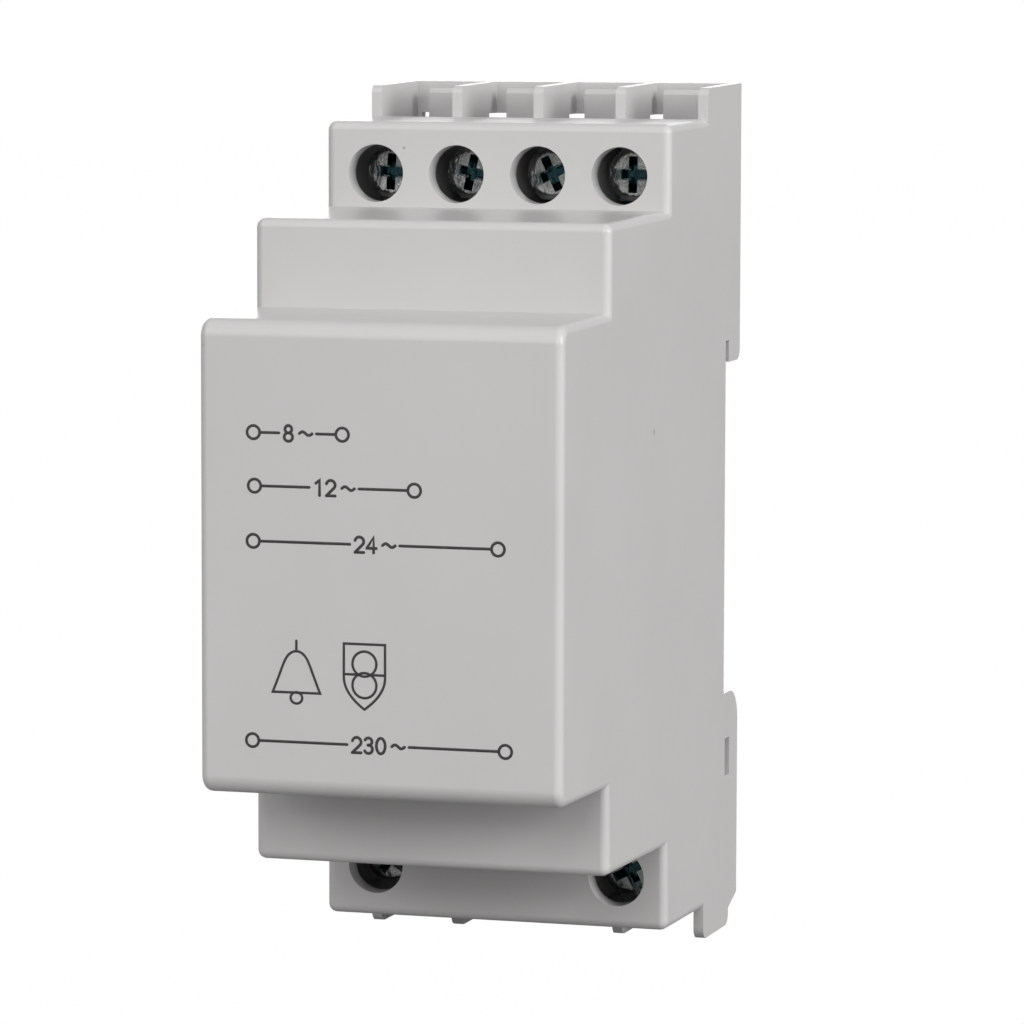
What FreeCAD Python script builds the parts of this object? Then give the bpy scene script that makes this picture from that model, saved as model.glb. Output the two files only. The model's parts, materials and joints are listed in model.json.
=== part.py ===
"""Two-module rail-mounted doorbell transformer, as a parametric document in millimetres.

Origin: centre of the plane where the mounting rail seats. X runs across the case, -Y is the
front, +Y the wall side and +Z is up. The 8 V, 12 V and 24 V taps leave at the top and the
mains terminals are at the bottom.
"""
import FreeCAD, Part
import math
import os
import re
import Sketcher

V = FreeCAD.Vector

# Lengths closer than this count as equal when edges are picked.
NEAR = 1e-3

# Driving dimensions: name, value in mm, what it is.
SIZES = [
    ("case_width", 36.0, "two modules of a distribution board"),
    ("nose_height", 45.8, "root of the nose that shows through the board's cover"),
    ("step_rise", 8.95, "height gained by the middle step, each side"),
    ("deck_rise", 8.9, "height gained by the terminal deck, each side"),
    ("fin_rise", 3.3, "fins above the terminal deck, each side"),
    ("nose_fall", 0.28, "draft of the nose's roof and floor, root to front"),
    ("step_fall", 0.36, "draft of the middle step's roof and floor, root to front"),
    ("deck_fall", 0.35, "draft of the terminal deck's roof and floor, rear to front"),
    ("fin_fall", 0.3, "draft of the upper fins, rear to front"),
    ("deck_front", 22.0, "terminal deck face in front of the rail seat"),
    ("step_depth", 21.3, "middle step in front of the terminal deck"),
    ("nose_depth", 15.7, "nose in front of the middle step"),
    ("rear_depth", 5.7, "feet behind the rail seat"),
    ("side_wall", 1.5, "side walls of the case"),
    ("front_wall", 1.8, "front faces of the nose and the middle step"),
    ("roof_wall", 1.6, "roofs, floors and terminal shelves"),
    ("deck_wall", 2.25, "terminal deck face"),
    ("nose_round", 1.75, "outer corners of the nose, across the case"),
    ("edge_round", 0.9, "outer corners of the steps, across the case"),
    ("side_round", 0.85, "outer edges along the side faces"),
    ("fin_wall", 1.05, "fins and partitions between the terminals"),
    ("fin_front", 7.6, "front ends of the fins in front of the rail seat"),
    ("fin_round", 0.8, "upper corners of the fins"),
    ("tail_depth", 2.4, "rear ends of the lower fins behind the rail seat"),
    ("tip_drop", 3.0, "lower fins below the terminal deck"),
    ("tail_drop", 1.3, "foot below the terminal deck"),
    ("tail_round", 1.2, "lower corners of the lower fins"),
    ("tail_slant", 1.2, "rise of the foot's lower edge to the rear"),
    ("bar_wall", 1.2, "bar that joins the upper fins at the rear"),
    ("hole_diameter", 5.8, "screwdriver holes in the deck face"),
    ("rail_height", 35.0, "top-hat rail, edge to edge"),
    ("rail_lip", 1.0, "thickness of the rail's lips"),
    ("rail_play", 0.1, "rail edge to the root of the hook"),
    ("lip_play", 0.25, "rail's lip in the slot of the hook"),
    ("hook_reach", 2.15, "hook over the rail's upper edge"),
    ("hook_round", 1.2, "lower rear corner of the hook"),
    ("foot_drop", 1.65, "foot below the rail's lower edge"),
    ("foot_round", 3.2, "upper rear corner of the foot"),
    ("latch_drop", 4.8, "latch window below the top of the foot"),
    ("latch_height", 3.9, "latch window height"),
    ("latch_depth", 1.8, "latch window, front to rear"),
    ("latch_setback", 0.65, "latch window behind the seat plane"),
    ("latch_tip", 1.2, "latch out of the side of the cover"),
    ("latch_play", 0.2, "latch to the edges of its window"),
    ("arm_wall", 1.5, "web that carries the latch"),
    ("cover_plate", 1.8, "plate of the rear cover behind the rail seat"),
    ("cover_wall", 1.7, "bent-out walls of the rear cover"),
    ("cover_play", 0.2, "rear cover to the case, each side"),
    ("seat_relief", 0.3, "cover set back round the seat pad"),
    ("seat_margin", 0.3, "seat pad short of the hook and of the clip"),
    ("brow_height", 10.0, "thick part of the hook above the rail's upper edge"),
    ("tongue_front", 2.0, "front of the wall behind the wires, behind the seat plane"),
    ("tongue_width", 4.3, "tongues behind the wires"),
    ("tongue_rise", 2.6, "tongues above the terminal deck"),
    ("tongue_chamfer", 0.5, "upper front edge of the tongues"),
    ("post_width", 4.0, "posts that press the core forwards"),
    ("post_inset", 3.0, "posts inside the edge of the core"),
    ("clip_width", 12.0, "wings of the rail clip"),
    ("clip_rib_width", 8.4, "rib of the rail clip"),
    ("clip_wing", 1.5, "thickness of the wings"),
    ("clip_rib", 1.9, "rib behind the wings"),
    ("clip_play", 0.3, "clip in its channel, each side"),
    ("clip_grip", 2.0, "clip behind the rail's lower edge"),
    ("clip_ramp", 3.1, "height of the ramp on the clip's nose"),
    ("clip_tail", 1.4, "pull end of the clip below the foot"),
    ("clip_travel", 4.0, "way of the clip"),
    ("clip_slot", 1.6, "screwdriver slot in the clip's pull end"),
    ("channel_wall", 1.5, "walls of the clip's channel"),
    ("window_drop", 3.85, "spring window below the top of the foot"),
    ("window_width", 3.8, "spring window in the clip"),
    ("peg_height", 1.8, "peg that carries the spring"),
    ("peg_play", 0.2, "peg to the lower edge of the spring window"),
    ("spring_packed", 4.2, "spring with the clip pulled right down"),
    ("spring_play", 0.1, "spring to the peg and to the clip"),
    ("spring_diameter", 3.2, "outside of the spring"),
    ("spring_wire", 0.5, "wire of the spring"),
    ("spring_pitch", 1.5, "pitch of the spring as fitted"),
    ("terminal_rise", 3.38, "terminals above the middle step's roof"),
    ("terminal_inset", 0.24, "terminals nearer together than the fins"),
    ("cage_gap", 1.4, "cage to the wall behind the wires"),
    ("cage_back", 1.2, "wall of the cage that lifts the wire"),
    ("cage_room", 7.9, "inside of the cage along the screw"),
    ("cage_nut", 2.0, "threaded wall of the cage"),
    ("cage_side", 0.9, "side walls of the cage"),
    ("cage_play", 0.64, "cage to the partitions, each side"),
    ("cage_end_play", 0.5, "cage to the floor and roof of its chamber"),
    ("cage_travel", 4.2, "way of the cage"),
    ("pinch_gap", 0.2, "cage to contact bar, fully tightened"),
    ("contact_wall", 1.2, "contact bar"),
    ("contact_gap", 0.3, "contact bar to the sides of the cage"),
    ("neck_step", 0.2, "neck of the contact bar wider than its tongue, each side"),
    ("shoulder_step", 0.6, "shoulder on the terminal shelf wider than the neck, each side"),
    ("shoulder_height", 0.4, "height of the shoulder"),
    ("contact_play", 0.1, "contact bar in the shelf, each side"),
    ("tag_width", 2.4, "solder tag under the shelf"),
    ("tag_length", 3.6, "solder tag below the shelf"),
    ("head_gap", 0.3, "screw head to the cage, fully tightened"),
    ("head_thickness", 2.0, "screw head"),
    ("head_diameter", 5.3, "screw head"),
    ("head_dome", 0.5, "edge of the screw head"),
    ("shank_diameter", 3.5, "screw thread, outside"),
    ("thread_play", 0.12, "screw to the threaded wall"),
    ("tip_gap", 0.2, "screw tip to the contact bar"),
    ("slot_width", 0.9, "driver slot"),
    ("slot_depth", 0.9, "driver slot"),
    ("cross_width", 1.1, "cross recess, width of an arm"),
    ("cross_length", 3.4, "cross recess, across two arms"),
    ("cross_depth", 1.2, "cross recess"),
    ("core_gap", 1.3, "core to the inside of the nose"),
    ("core_rib", 0.6, "ribs in front of the core"),
    ("core_play", 0.15, "core to the ribs and posts"),
    ("core_stack", 16.0, "stack of laminations"),
    ("rib_width", 1.6, "ribs that hold the core"),
    ("rib_spacing", 10.0, "ribs, centre to centre"),
    ("bobbin_play", 0.2, "bobbin to the core"),
    ("bobbin_wall", 0.8, "tube of the bobbin"),
    ("flange_wall", 1.0, "flanges of the bobbin"),
    ("flange_play", 1.0, "flanges to the side walls"),
    ("winding_inset", 0.7, "windings inside the edge of the flanges"),
    ("winding_play", 0.1, "windings to the bobbin"),
    ("winding_chamfer", 1.5, "corners of the windings"),
    ("tape_wall", 0.25, "insulating tape round the windings"),
    ("lead_diameter", 1.2, "insulated lead"),
    ("lead_bend", 2.4, "bends of the leads, to the middle of the lead"),
    ("lead_setback", 4.0, "leads in front of the core's rear leg"),
    ("link_diameter", 3.4, "thermal link"),
    ("link_length", 9.0, "thermal link"),
    ("link_setback", 5.0, "thermal link in front of the contact bar"),
]

# Places worked out from the driving dimensions.
PLACES = {
    "half_width": "case_width / 2",
    "inner_half": "half_width - side_wall",
    "nose_half": "nose_height / 2",
    "step_half": "nose_half + step_rise",
    "deck_half": "step_half + deck_rise",
    "case_half": "deck_half + fin_rise",
    "step_front": "deck_front + step_depth",
    "nose_front": "step_front + nose_depth",
    "shelf_inner": "step_half - roof_wall",
    "chamber_roof": "deck_half - roof_wall",
    "chamber_front": "deck_front - deck_wall",
    "tip_bottom": "deck_half + tip_drop",
    "foot_bottom": "deck_half + tail_drop",
    "bar_front": "rear_depth - bar_wall",
    "fin_pitch": "(case_width - fin_wall) / 4",
    "well_half": "(fin_pitch - fin_wall) / 2",
    "terminal_pitch": "fin_pitch - terminal_inset",
    "terminal_height": "step_half + terminal_rise",
    "rail_half": "rail_height / 2",
    "lip_slot": "rail_lip + lip_play",
    "hook_bottom": "rail_half - hook_reach",
    "slot_top": "rail_half + rail_play",
    "foot_top": "rail_half + foot_drop",
    "clip_top": "rail_half - clip_grip",
    "brow_top": "rail_half + brow_height",
    "cover_half": "inner_half - cover_play",
    "cover_top": "chamber_roof - cover_play",
    "tongue_back": "tongue_front + cover_wall",
    "cover_stop": "tongue_front - cover_play",
    "latch_top": "foot_top + latch_drop",
    "latch_bottom": "latch_top + latch_height",
    "latch_rear": "latch_setback + latch_depth",
    "clip_front": "lip_slot",
    "clip_middle": "clip_front + clip_wing",
    "clip_rear": "clip_middle + clip_rib",
    "channel_floor": "clip_front - clip_play",
    "channel_lip": "clip_middle + clip_play",
    "channel_half": "clip_width / 2 + clip_play",
    "block_half": "channel_half + channel_wall",
    "block_front": "channel_floor - channel_wall",
    "notch_half": "fin_pitch - fin_wall / 2",
    "window_top": "foot_top + window_drop",
    "spring_length": "clip_travel + spring_packed",
    "peg_top": "window_top + spring_length",
    "peg_bottom": "peg_top + peg_height",
    "window_bottom": "peg_bottom + peg_play",
    "spring_axis": "(clip_front + clip_rear) / 2",
    "cage_rear": "tongue_front - cage_gap",
    "cage_inner_rear": "cage_rear - cage_back",
    "cage_inner_front": "cage_inner_rear - cage_room",
    "cage_front": "cage_inner_front - cage_nut",
    "cage_half": "well_half - cage_play",
    "cage_half_height": "terminal_rise - cage_end_play",
    "tongue_half": "cage_half - cage_side - contact_gap",
    "neck_half": "tongue_half + neck_step",
    "shoulder_half": "neck_half + shoulder_step",
    "contact_back": "cage_inner_rear - cage_travel - pinch_gap",
    "contact_front": "contact_back - contact_wall",
    "tag_middle": "terminal_rise + roof_wall + tag_length * 2 / 3",
    "tag_end": "terminal_rise + roof_wall + tag_length",
    "screw_tip": "contact_front - tip_gap",
    "head_back": "cage_front - cage_travel - head_gap",
    "head_face": "head_back - head_thickness",
    "core_half": "nose_half - roof_wall - core_gap",
    "core_unit": "core_half * 2 / 5",
    "core_front": "nose_front - front_wall - core_rib - core_play",
    "core_rear": "core_front - core_unit * 6",
    "core_middle": "core_front - core_unit * 3",
    "window_half": "core_unit * 1.5",
    "tube_inner_x": "core_stack / 2 + bobbin_play",
    "tube_inner_y": "core_unit + bobbin_play",
    "tube_outer_x": "tube_inner_x + bobbin_wall",
    "tube_outer_y": "tube_inner_y + bobbin_wall",
    "flange_half_x": "inner_half - flange_play",
    "flange_half_y": "core_unit * 2 - bobbin_play",
    "bobbin_half": "window_half - bobbin_play",
    "coil_low": "flange_wall / 2 + winding_play",
    "coil_high": "bobbin_half - flange_wall - winding_play",
    "coil_half_x": "flange_half_x - winding_inset",
    "coil_half_y": "flange_half_y - winding_inset",
    "lead_height": "terminal_height - tag_middle",
    "tape_half_x": "coil_half_x + winding_play / 2",
    "tape_half_y": "coil_half_y + winding_play / 2",
    "lead_rise": "core_rear + core_unit + lead_setback",
}

# Functions that the formulas may use beside the names of sizes and places.
FUNCTIONS = ("atan", "sqrt")

doc = FreeCAD.newDocument("doorbell_transformer")
sheet = doc.addObject("Spreadsheet::Sheet", "Sizes")
for row, (alias, size, note) in enumerate(SIZES, 1):
    sheet.set(f"A{row}", note)
    sheet.set(f"B{row}", str(size))
    sheet.setAlias(f"B{row}", alias)
doc.recompute()


def formula(text):
    """An expression on the sheet's cells for a text that uses the names of sizes and places."""

    def cell(found):
        name = found.group(0)
        if name in FUNCTIONS:
            return name
        return f"({formula(PLACES[name])})" if name in PLACES else f"Sizes.{name}"

    return re.sub(r"[a-z][a-z_]*", cell, str(text))


def size(text):
    """The value in millimetres of a text that uses the names of sizes and places."""
    return float(sheet.evalExpression(formula(text)))


def origin_part(body, role):
    """The plane or axis of a body's own origin that has this role."""
    return next(part for part in body.Origin.OriginFeatures if part.Role == role)


def new_body(label):
    """A body that will be one piece of the product."""
    body = doc.addObject("PartDesign::Body", label)
    body.Label = label
    return body


def new_sketch(body, plane, name, offset="0"):
    """A sketch on one of the body's origin planes, moved along the plane's normal.

    On XZ_Plane the normal points to the front, so an offset there is a distance to the front.
    """
    sketch = body.newObject("Sketcher::SketchObject", f"{body.Label}_{name}_sketch")
    sketch.AttachmentSupport = (origin_part(body, plane), [""])
    sketch.MapMode = "FlatFace"
    sketch.setExpression("AttachmentOffset.Base.z", formula(offset))
    return sketch


def hold_point(sketch, geometry, point, corner):
    """Ties a point of the sketch's geometry to two formulas, measured from the sketch's origin."""
    for kind, text in zip(("DistanceX", "DistanceY"), corner):
        rule = Sketcher.Constraint(kind, -1, 1, geometry, point, size(text))
        index = sketch.addConstraint(rule)
        sketch.setExpression(f"Constraints[{index}]", formula(text))


def outline(sketch, corners):
    """A closed outline of straight edges through corners, each given as two formulas."""
    places = [V(size(u), size(v), 0) for u, v in corners]
    first = sketch.GeometryCount
    count = len(corners)
    for index, place in enumerate(places):
        sketch.addGeometry(Part.LineSegment(place, places[(index + 1) % count]))
    for index in range(count):
        after = first + (index + 1) % count
        sketch.addConstraint(Sketcher.Constraint("Coincident", first + index, 2, after, 1))
    for index, corner in enumerate(corners):
        hold_point(sketch, first + index, 1, corner)


def rectangle(sketch, left, right, low, high):
    """A rectangle between four formulas."""
    outline(sketch, [(left, low), (right, low), (right, high), (left, high)])


def circle(sketch, u, v, diameter):
    """A circle round a point given as two formulas."""
    index = sketch.addGeometry(Part.Circle(V(size(u), size(v), 0), V(0, 0, 1), size(diameter) / 2))
    hold_point(sketch, index, 3, (u, v))
    rule = Sketcher.Constraint("Diameter", index, size(diameter))
    sketch.setExpression(f"Constraints[{sketch.addConstraint(rule)}]", formula(diameter))


def grow(body, sketch, name, length, both=False, back=False):
    """A pad of the sketch along its normal, to both sides of it, or against it."""
    pad = body.newObject("PartDesign::Pad", f"{body.Label}_{name}")
    pad.Profile = sketch
    pad.SideType = "Symmetric" if both else "One side"
    pad.Reversed = back
    pad.setExpression("Length", formula(length))
    doc.recompute()
    return pad


def cut(body, sketch, name, length, both=False, back=False):
    """A pocket of the sketch against its normal, to both sides of it, or along it."""
    before = body.Shape.Volume
    pocket = body.newObject("PartDesign::Pocket", f"{body.Label}_{name}")
    pocket.Profile = sketch
    pocket.SideType = "Symmetric" if both else "One side"
    pocket.Reversed = back
    pocket.setExpression("Length", formula(length))
    doc.recompute()
    if body.Shape.Volume >= before:
        raise RuntimeError(f"{pocket.Name} cuts nothing")
    return pocket


def row_of(body, feature, name, length, count):
    """Copies of a feature in an even row along X, over the length given."""
    pattern = body.newObject("PartDesign::LinearPattern", f"{body.Label}_{name}")
    pattern.Originals = [feature]
    pattern.Direction = (origin_part(body, "X_Axis"), [""])
    pattern.setExpression("Length", formula(length))
    pattern.Occurrences = count
    body.Tip = pattern
    doc.recompute()
    return pattern


def edges_where(body, test):
    """The names of the body's edges that pass a test."""
    return [f"Edge{index}" for index, edge in enumerate(body.Shape.Edges, 1) if test(edge)]


def soften(body, kind, name, test, amount):
    """A Fillet or Chamfer on the body's edges that pass a test."""
    base = (body.Tip, edges_where(body, test))
    feature = body.newObject(f"PartDesign::{kind}", f"{body.Label}_{name}")
    feature.Base = base
    feature.setExpression("Radius" if kind == "Fillet" else "Size", formula(amount))
    doc.recompute()
    return feature


def across(*corners):
    """A test for edges along X through one of the corners, given as formulas for Y and Z."""
    places = [(size(y), size(z)) for y, z in corners]

    def test(edge):
        box = edge.BoundBox
        if box.YLength > NEAR or box.ZLength > NEAR:
            return False
        return any(math.dist((box.YMin, box.ZMin), place) < NEAR for place in places)

    return test


def upright(edge):
    """Whether an edge runs along Z."""
    return edge.BoundBox.XLength < NEAR and edge.BoundBox.YLength < NEAR


def upright_at(x):
    """A test for edges along Z at a distance from the YZ plane, given as a formula."""
    distance = size(x)
    return lambda edge: upright(edge) and abs(abs(edge.BoundBox.XMin) - distance) < NEAR


def both_ways(*corners):
    """Corners given for the upper half, then mirrored to the lower half."""
    return [*corners, *((y, f"-({z})") for y, z in corners)]


TOP_PLACES = ("-1.5", "-0.5", "0.5", "1.5")
BOTTOM_PLACES = ("-1.5", "1.5")


def housing_shell():
    """The moulded case: stepped nose, terminal deck, fins, chambers and side walls with feet."""
    body = new_body("housing_shell")
    profile = new_sketch(body, "YZ_Plane", "profile")
    steps = [
        ("-nose_front", "nose_half - nose_fall"),
        ("-step_front", "nose_half"),
        ("-step_front", "step_half - step_fall"),
        ("-deck_front", "step_half"),
        ("-deck_front", "deck_half - deck_fall"),
        ("rear_depth", "deck_half"),
    ]
    rear = [
        ("rear_depth", "hook_bottom"),
        ("lip_slot", "hook_bottom"),
        ("lip_slot", "slot_top"),
        ("0", "slot_top"),
        ("0", "-foot_top"),
        ("rear_depth", "-foot_top"),
    ]
    lower = [(y, f"-({z})") for y, z in reversed(steps)]
    outline(profile, steps + rear + lower)
    grow(body, profile, "block", "case_width", both=True)

    soften(body, "Fillet", "nose_rounds", across(*both_ways(steps[0])), "nose_round")
    soften(body, "Fillet", "step_rounds", across(*both_ways(steps[2], steps[4])), "edge_round")
    soften(body, "Fillet", "hook_round", across(rear[0]), "hook_round")
    soften(body, "Fillet", "foot_round", across(rear[5]), "foot_round")

    side = size("half_width")
    deck_edge = size("deck_half - deck_fall")

    def front_side(edge):
        box = edge.BoundBox
        on_side = box.XLength < NEAR and abs(abs(box.XMin) - side) < NEAR
        along_deck = min(abs(box.ZMin), abs(box.ZMax)) > deck_edge - NEAR
        before_fins = box.YMax < -size("fin_front")
        return on_side and (before_fins or along_deck)

    soften(body, "Fillet", "side_rounds", front_side, "side_round")

    # Fins: five above the upper terminals, four below the lower ones.
    upper = new_sketch(body, "YZ_Plane", "upper_fin", "-fin_pitch * 2")
    fin_corner = ("-fin_front", "case_half - fin_fall")
    outline(upper, [
        ("-fin_front", "chamber_roof"),
        ("rear_depth", "chamber_roof"),
        ("rear_depth", "case_half"),
        fin_corner,
    ])
    fin = grow(body, upper, "upper_fin", "fin_wall", both=True)
    row_of(body, fin, "upper_fins", "fin_pitch * 4", 5)
    bar = new_sketch(body, "YZ_Plane", "rear_bar")
    bar_fall = "fin_fall * bar_wall / (fin_front + rear_depth)"
    outline(bar, [
        ("bar_front", "chamber_roof"),
        ("rear_depth", "chamber_roof"),
        ("rear_depth", "case_half"),
        ("bar_front", f"case_half - {bar_fall}"),
    ])
    grow(body, bar, "rear_bar", "case_width", both=True)
    for name, place in (("outer_tail", "2"), ("inner_tail", "1")):
        tail = new_sketch(body, "YZ_Plane", name, f"-fin_pitch * {place}")
        outline(tail, [
            ("-fin_front", "-chamber_roof"),
            ("-fin_front", "-tip_bottom"),
            ("tail_depth", "-tip_bottom"),
            ("tail_depth", "-foot_bottom"),
            ("rear_depth", "-foot_bottom + tail_slant"),
            ("rear_depth", "-chamber_roof"),
        ])
        fin = grow(body, tail, name, "fin_wall", both=True)
        row_of(body, fin, f"{name}s", f"fin_pitch * {place} * 2", 2)
    soften(body, "Fillet", "fin_rounds", across(fin_corner), "fin_round")
    tips = across(("-fin_front", "-tip_bottom"), ("tail_depth", "-tip_bottom"))
    soften(body, "Fillet", "tail_rounds", tips, "tail_round")

    # Room for the core and coil, open at the rear.
    room = new_sketch(body, "YZ_Plane", "core_room")
    room_front = "-(nose_front - front_wall)"
    room_step = "-(step_front - front_wall)"
    room_rear = "rear_depth + side_wall"
    upper_room = [
        (room_rear, "shelf_inner"),
        (room_step, "shelf_inner"),
        (room_step, "nose_half - roof_wall"),
        (room_front, "nose_half - roof_wall"),
    ]
    lower_room = [(y, f"-({z})") for y, z in reversed(upper_room)]
    outline(room, upper_room + lower_room)
    cut(body, room, "core_room", "inner_half * 2", both=True)

    # Terminal chambers behind the deck, and wells between the fins that the wires drop into.
    chamber_depth = "chamber_front + rear_depth + side_wall"
    well_end = "fin_front + bar_front"
    left = "-fin_pitch * 1.5 - well_half"
    right = "-fin_pitch * 1.5 + well_half"
    for name, sign, count in (("upper", "", 4), ("lower", "-", 2)):
        chamber = new_sketch(body, "XZ_Plane", f"{name}_chamber", "chamber_front")
        low, high = ("step_half", "chamber_roof") if sign == "" else ("-chamber_roof", "-step_half")
        rectangle(chamber, left, right, low, high)
        pocket = cut(body, chamber, f"{name}_chamber", chamber_depth)
        row_of(body, pocket, f"{name}_chambers", "fin_pitch * 3", count)
        well = new_sketch(body, "XY_Plane", f"{name}_well", f"{sign}case_half")
        rectangle(well, left, right, "-fin_front", "bar_front")
        pocket = cut(body, well, f"{name}_well", "case_half - chamber_roof + roof_wall", back=sign == "-")
        row_of(body, pocket, f"{name}_wells", "fin_pitch * 3", count)
    blank = new_sketch(body, "XZ_Plane", "blank_chamber", "chamber_front")
    rectangle(blank, "-notch_half", "notch_half", "-chamber_roof", "-step_half")
    cut(body, blank, "blank_chamber", chamber_depth)

    # Room for the rear cover between the side walls, and for its clip channel.
    cover = new_sketch(body, "YZ_Plane", "cover_room")
    rectangle(cover, "cover_stop", room_rear, "-case_half - tail_drop", "deck_half")
    cut(body, cover, "cover_room", "inner_half * 2", both=True)
    notch = new_sketch(body, "XY_Plane", "channel_notch", "-shelf_inner + roof_wall")
    rectangle(notch, "-notch_half", "notch_half", "block_front - cover_play", room_rear)
    cut(body, notch, "channel_notch", "case_half")

    # Screwdriver holes, slots for the contact bars and windows for the cover's latches.
    holes = new_sketch(body, "XZ_Plane", "screw_holes", "deck_front")
    for place in TOP_PLACES:
        circle(holes, f"{place} * terminal_pitch", "terminal_height", "hole_diameter")
    for place in BOTTOM_PLACES:
        circle(holes, f"{place} * terminal_pitch", "-terminal_height", "hole_diameter")
    cut(body, holes, "screw_holes", "deck_wall + cage_end_play")
    neck = "(neck_half + contact_play)"
    for name, sign, places in (("upper", "", TOP_PLACES), ("lower", "-", BOTTOM_PLACES)):
        slots = new_sketch(body, "XY_Plane", f"{name}_contact_slots", f"{sign}step_half")
        for place in places:
            centre = f"{place} * terminal_pitch"
            front, back = "contact_front - contact_play", "contact_back + contact_play"
            rectangle(slots, f"{centre} - {neck}", f"{centre} + {neck}", front, back)
        cut(body, slots, f"{name}_contact_slots", "roof_wall * 1.5", back=sign == "-")
    windows = new_sketch(body, "YZ_Plane", "latch_windows")
    rectangle(windows, "latch_setback", "latch_rear", "-latch_bottom", "-latch_top")
    cut(body, windows, "latch_windows", "case_width + side_wall", both=True)

    # Ribs that hold the core off the nose's roof, floor and front.
    ribs = new_sketch(body, "XZ_Plane", "roof_ribs", "step_front")
    for place in ("-0.5", "0.5"):
        left = f"{place} * rib_spacing - rib_width / 2"
        right = f"{place} * rib_spacing + rib_width / 2"
        rectangle(ribs, left, right, "core_half + core_play", "nose_half - roof_wall / 2")
        rectangle(ribs, left, right, "-nose_half + roof_wall / 2", "-core_half - core_play")
    grow(body, ribs, "roof_ribs", "nose_depth - front_wall / 2")
    stops = new_sketch(body, "XZ_Plane", "front_ribs", "core_front + core_play")
    for place in ("-0.5", "0.5"):
        left = f"{place} * rib_spacing - rib_width / 2"
        right = f"{place} * rib_spacing + rib_width / 2"
        rectangle(stops, left, right, "-core_unit * 2", "core_unit * 2")
    grow(body, stops, "front_ribs", "core_rib + front_wall / 2")


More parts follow.
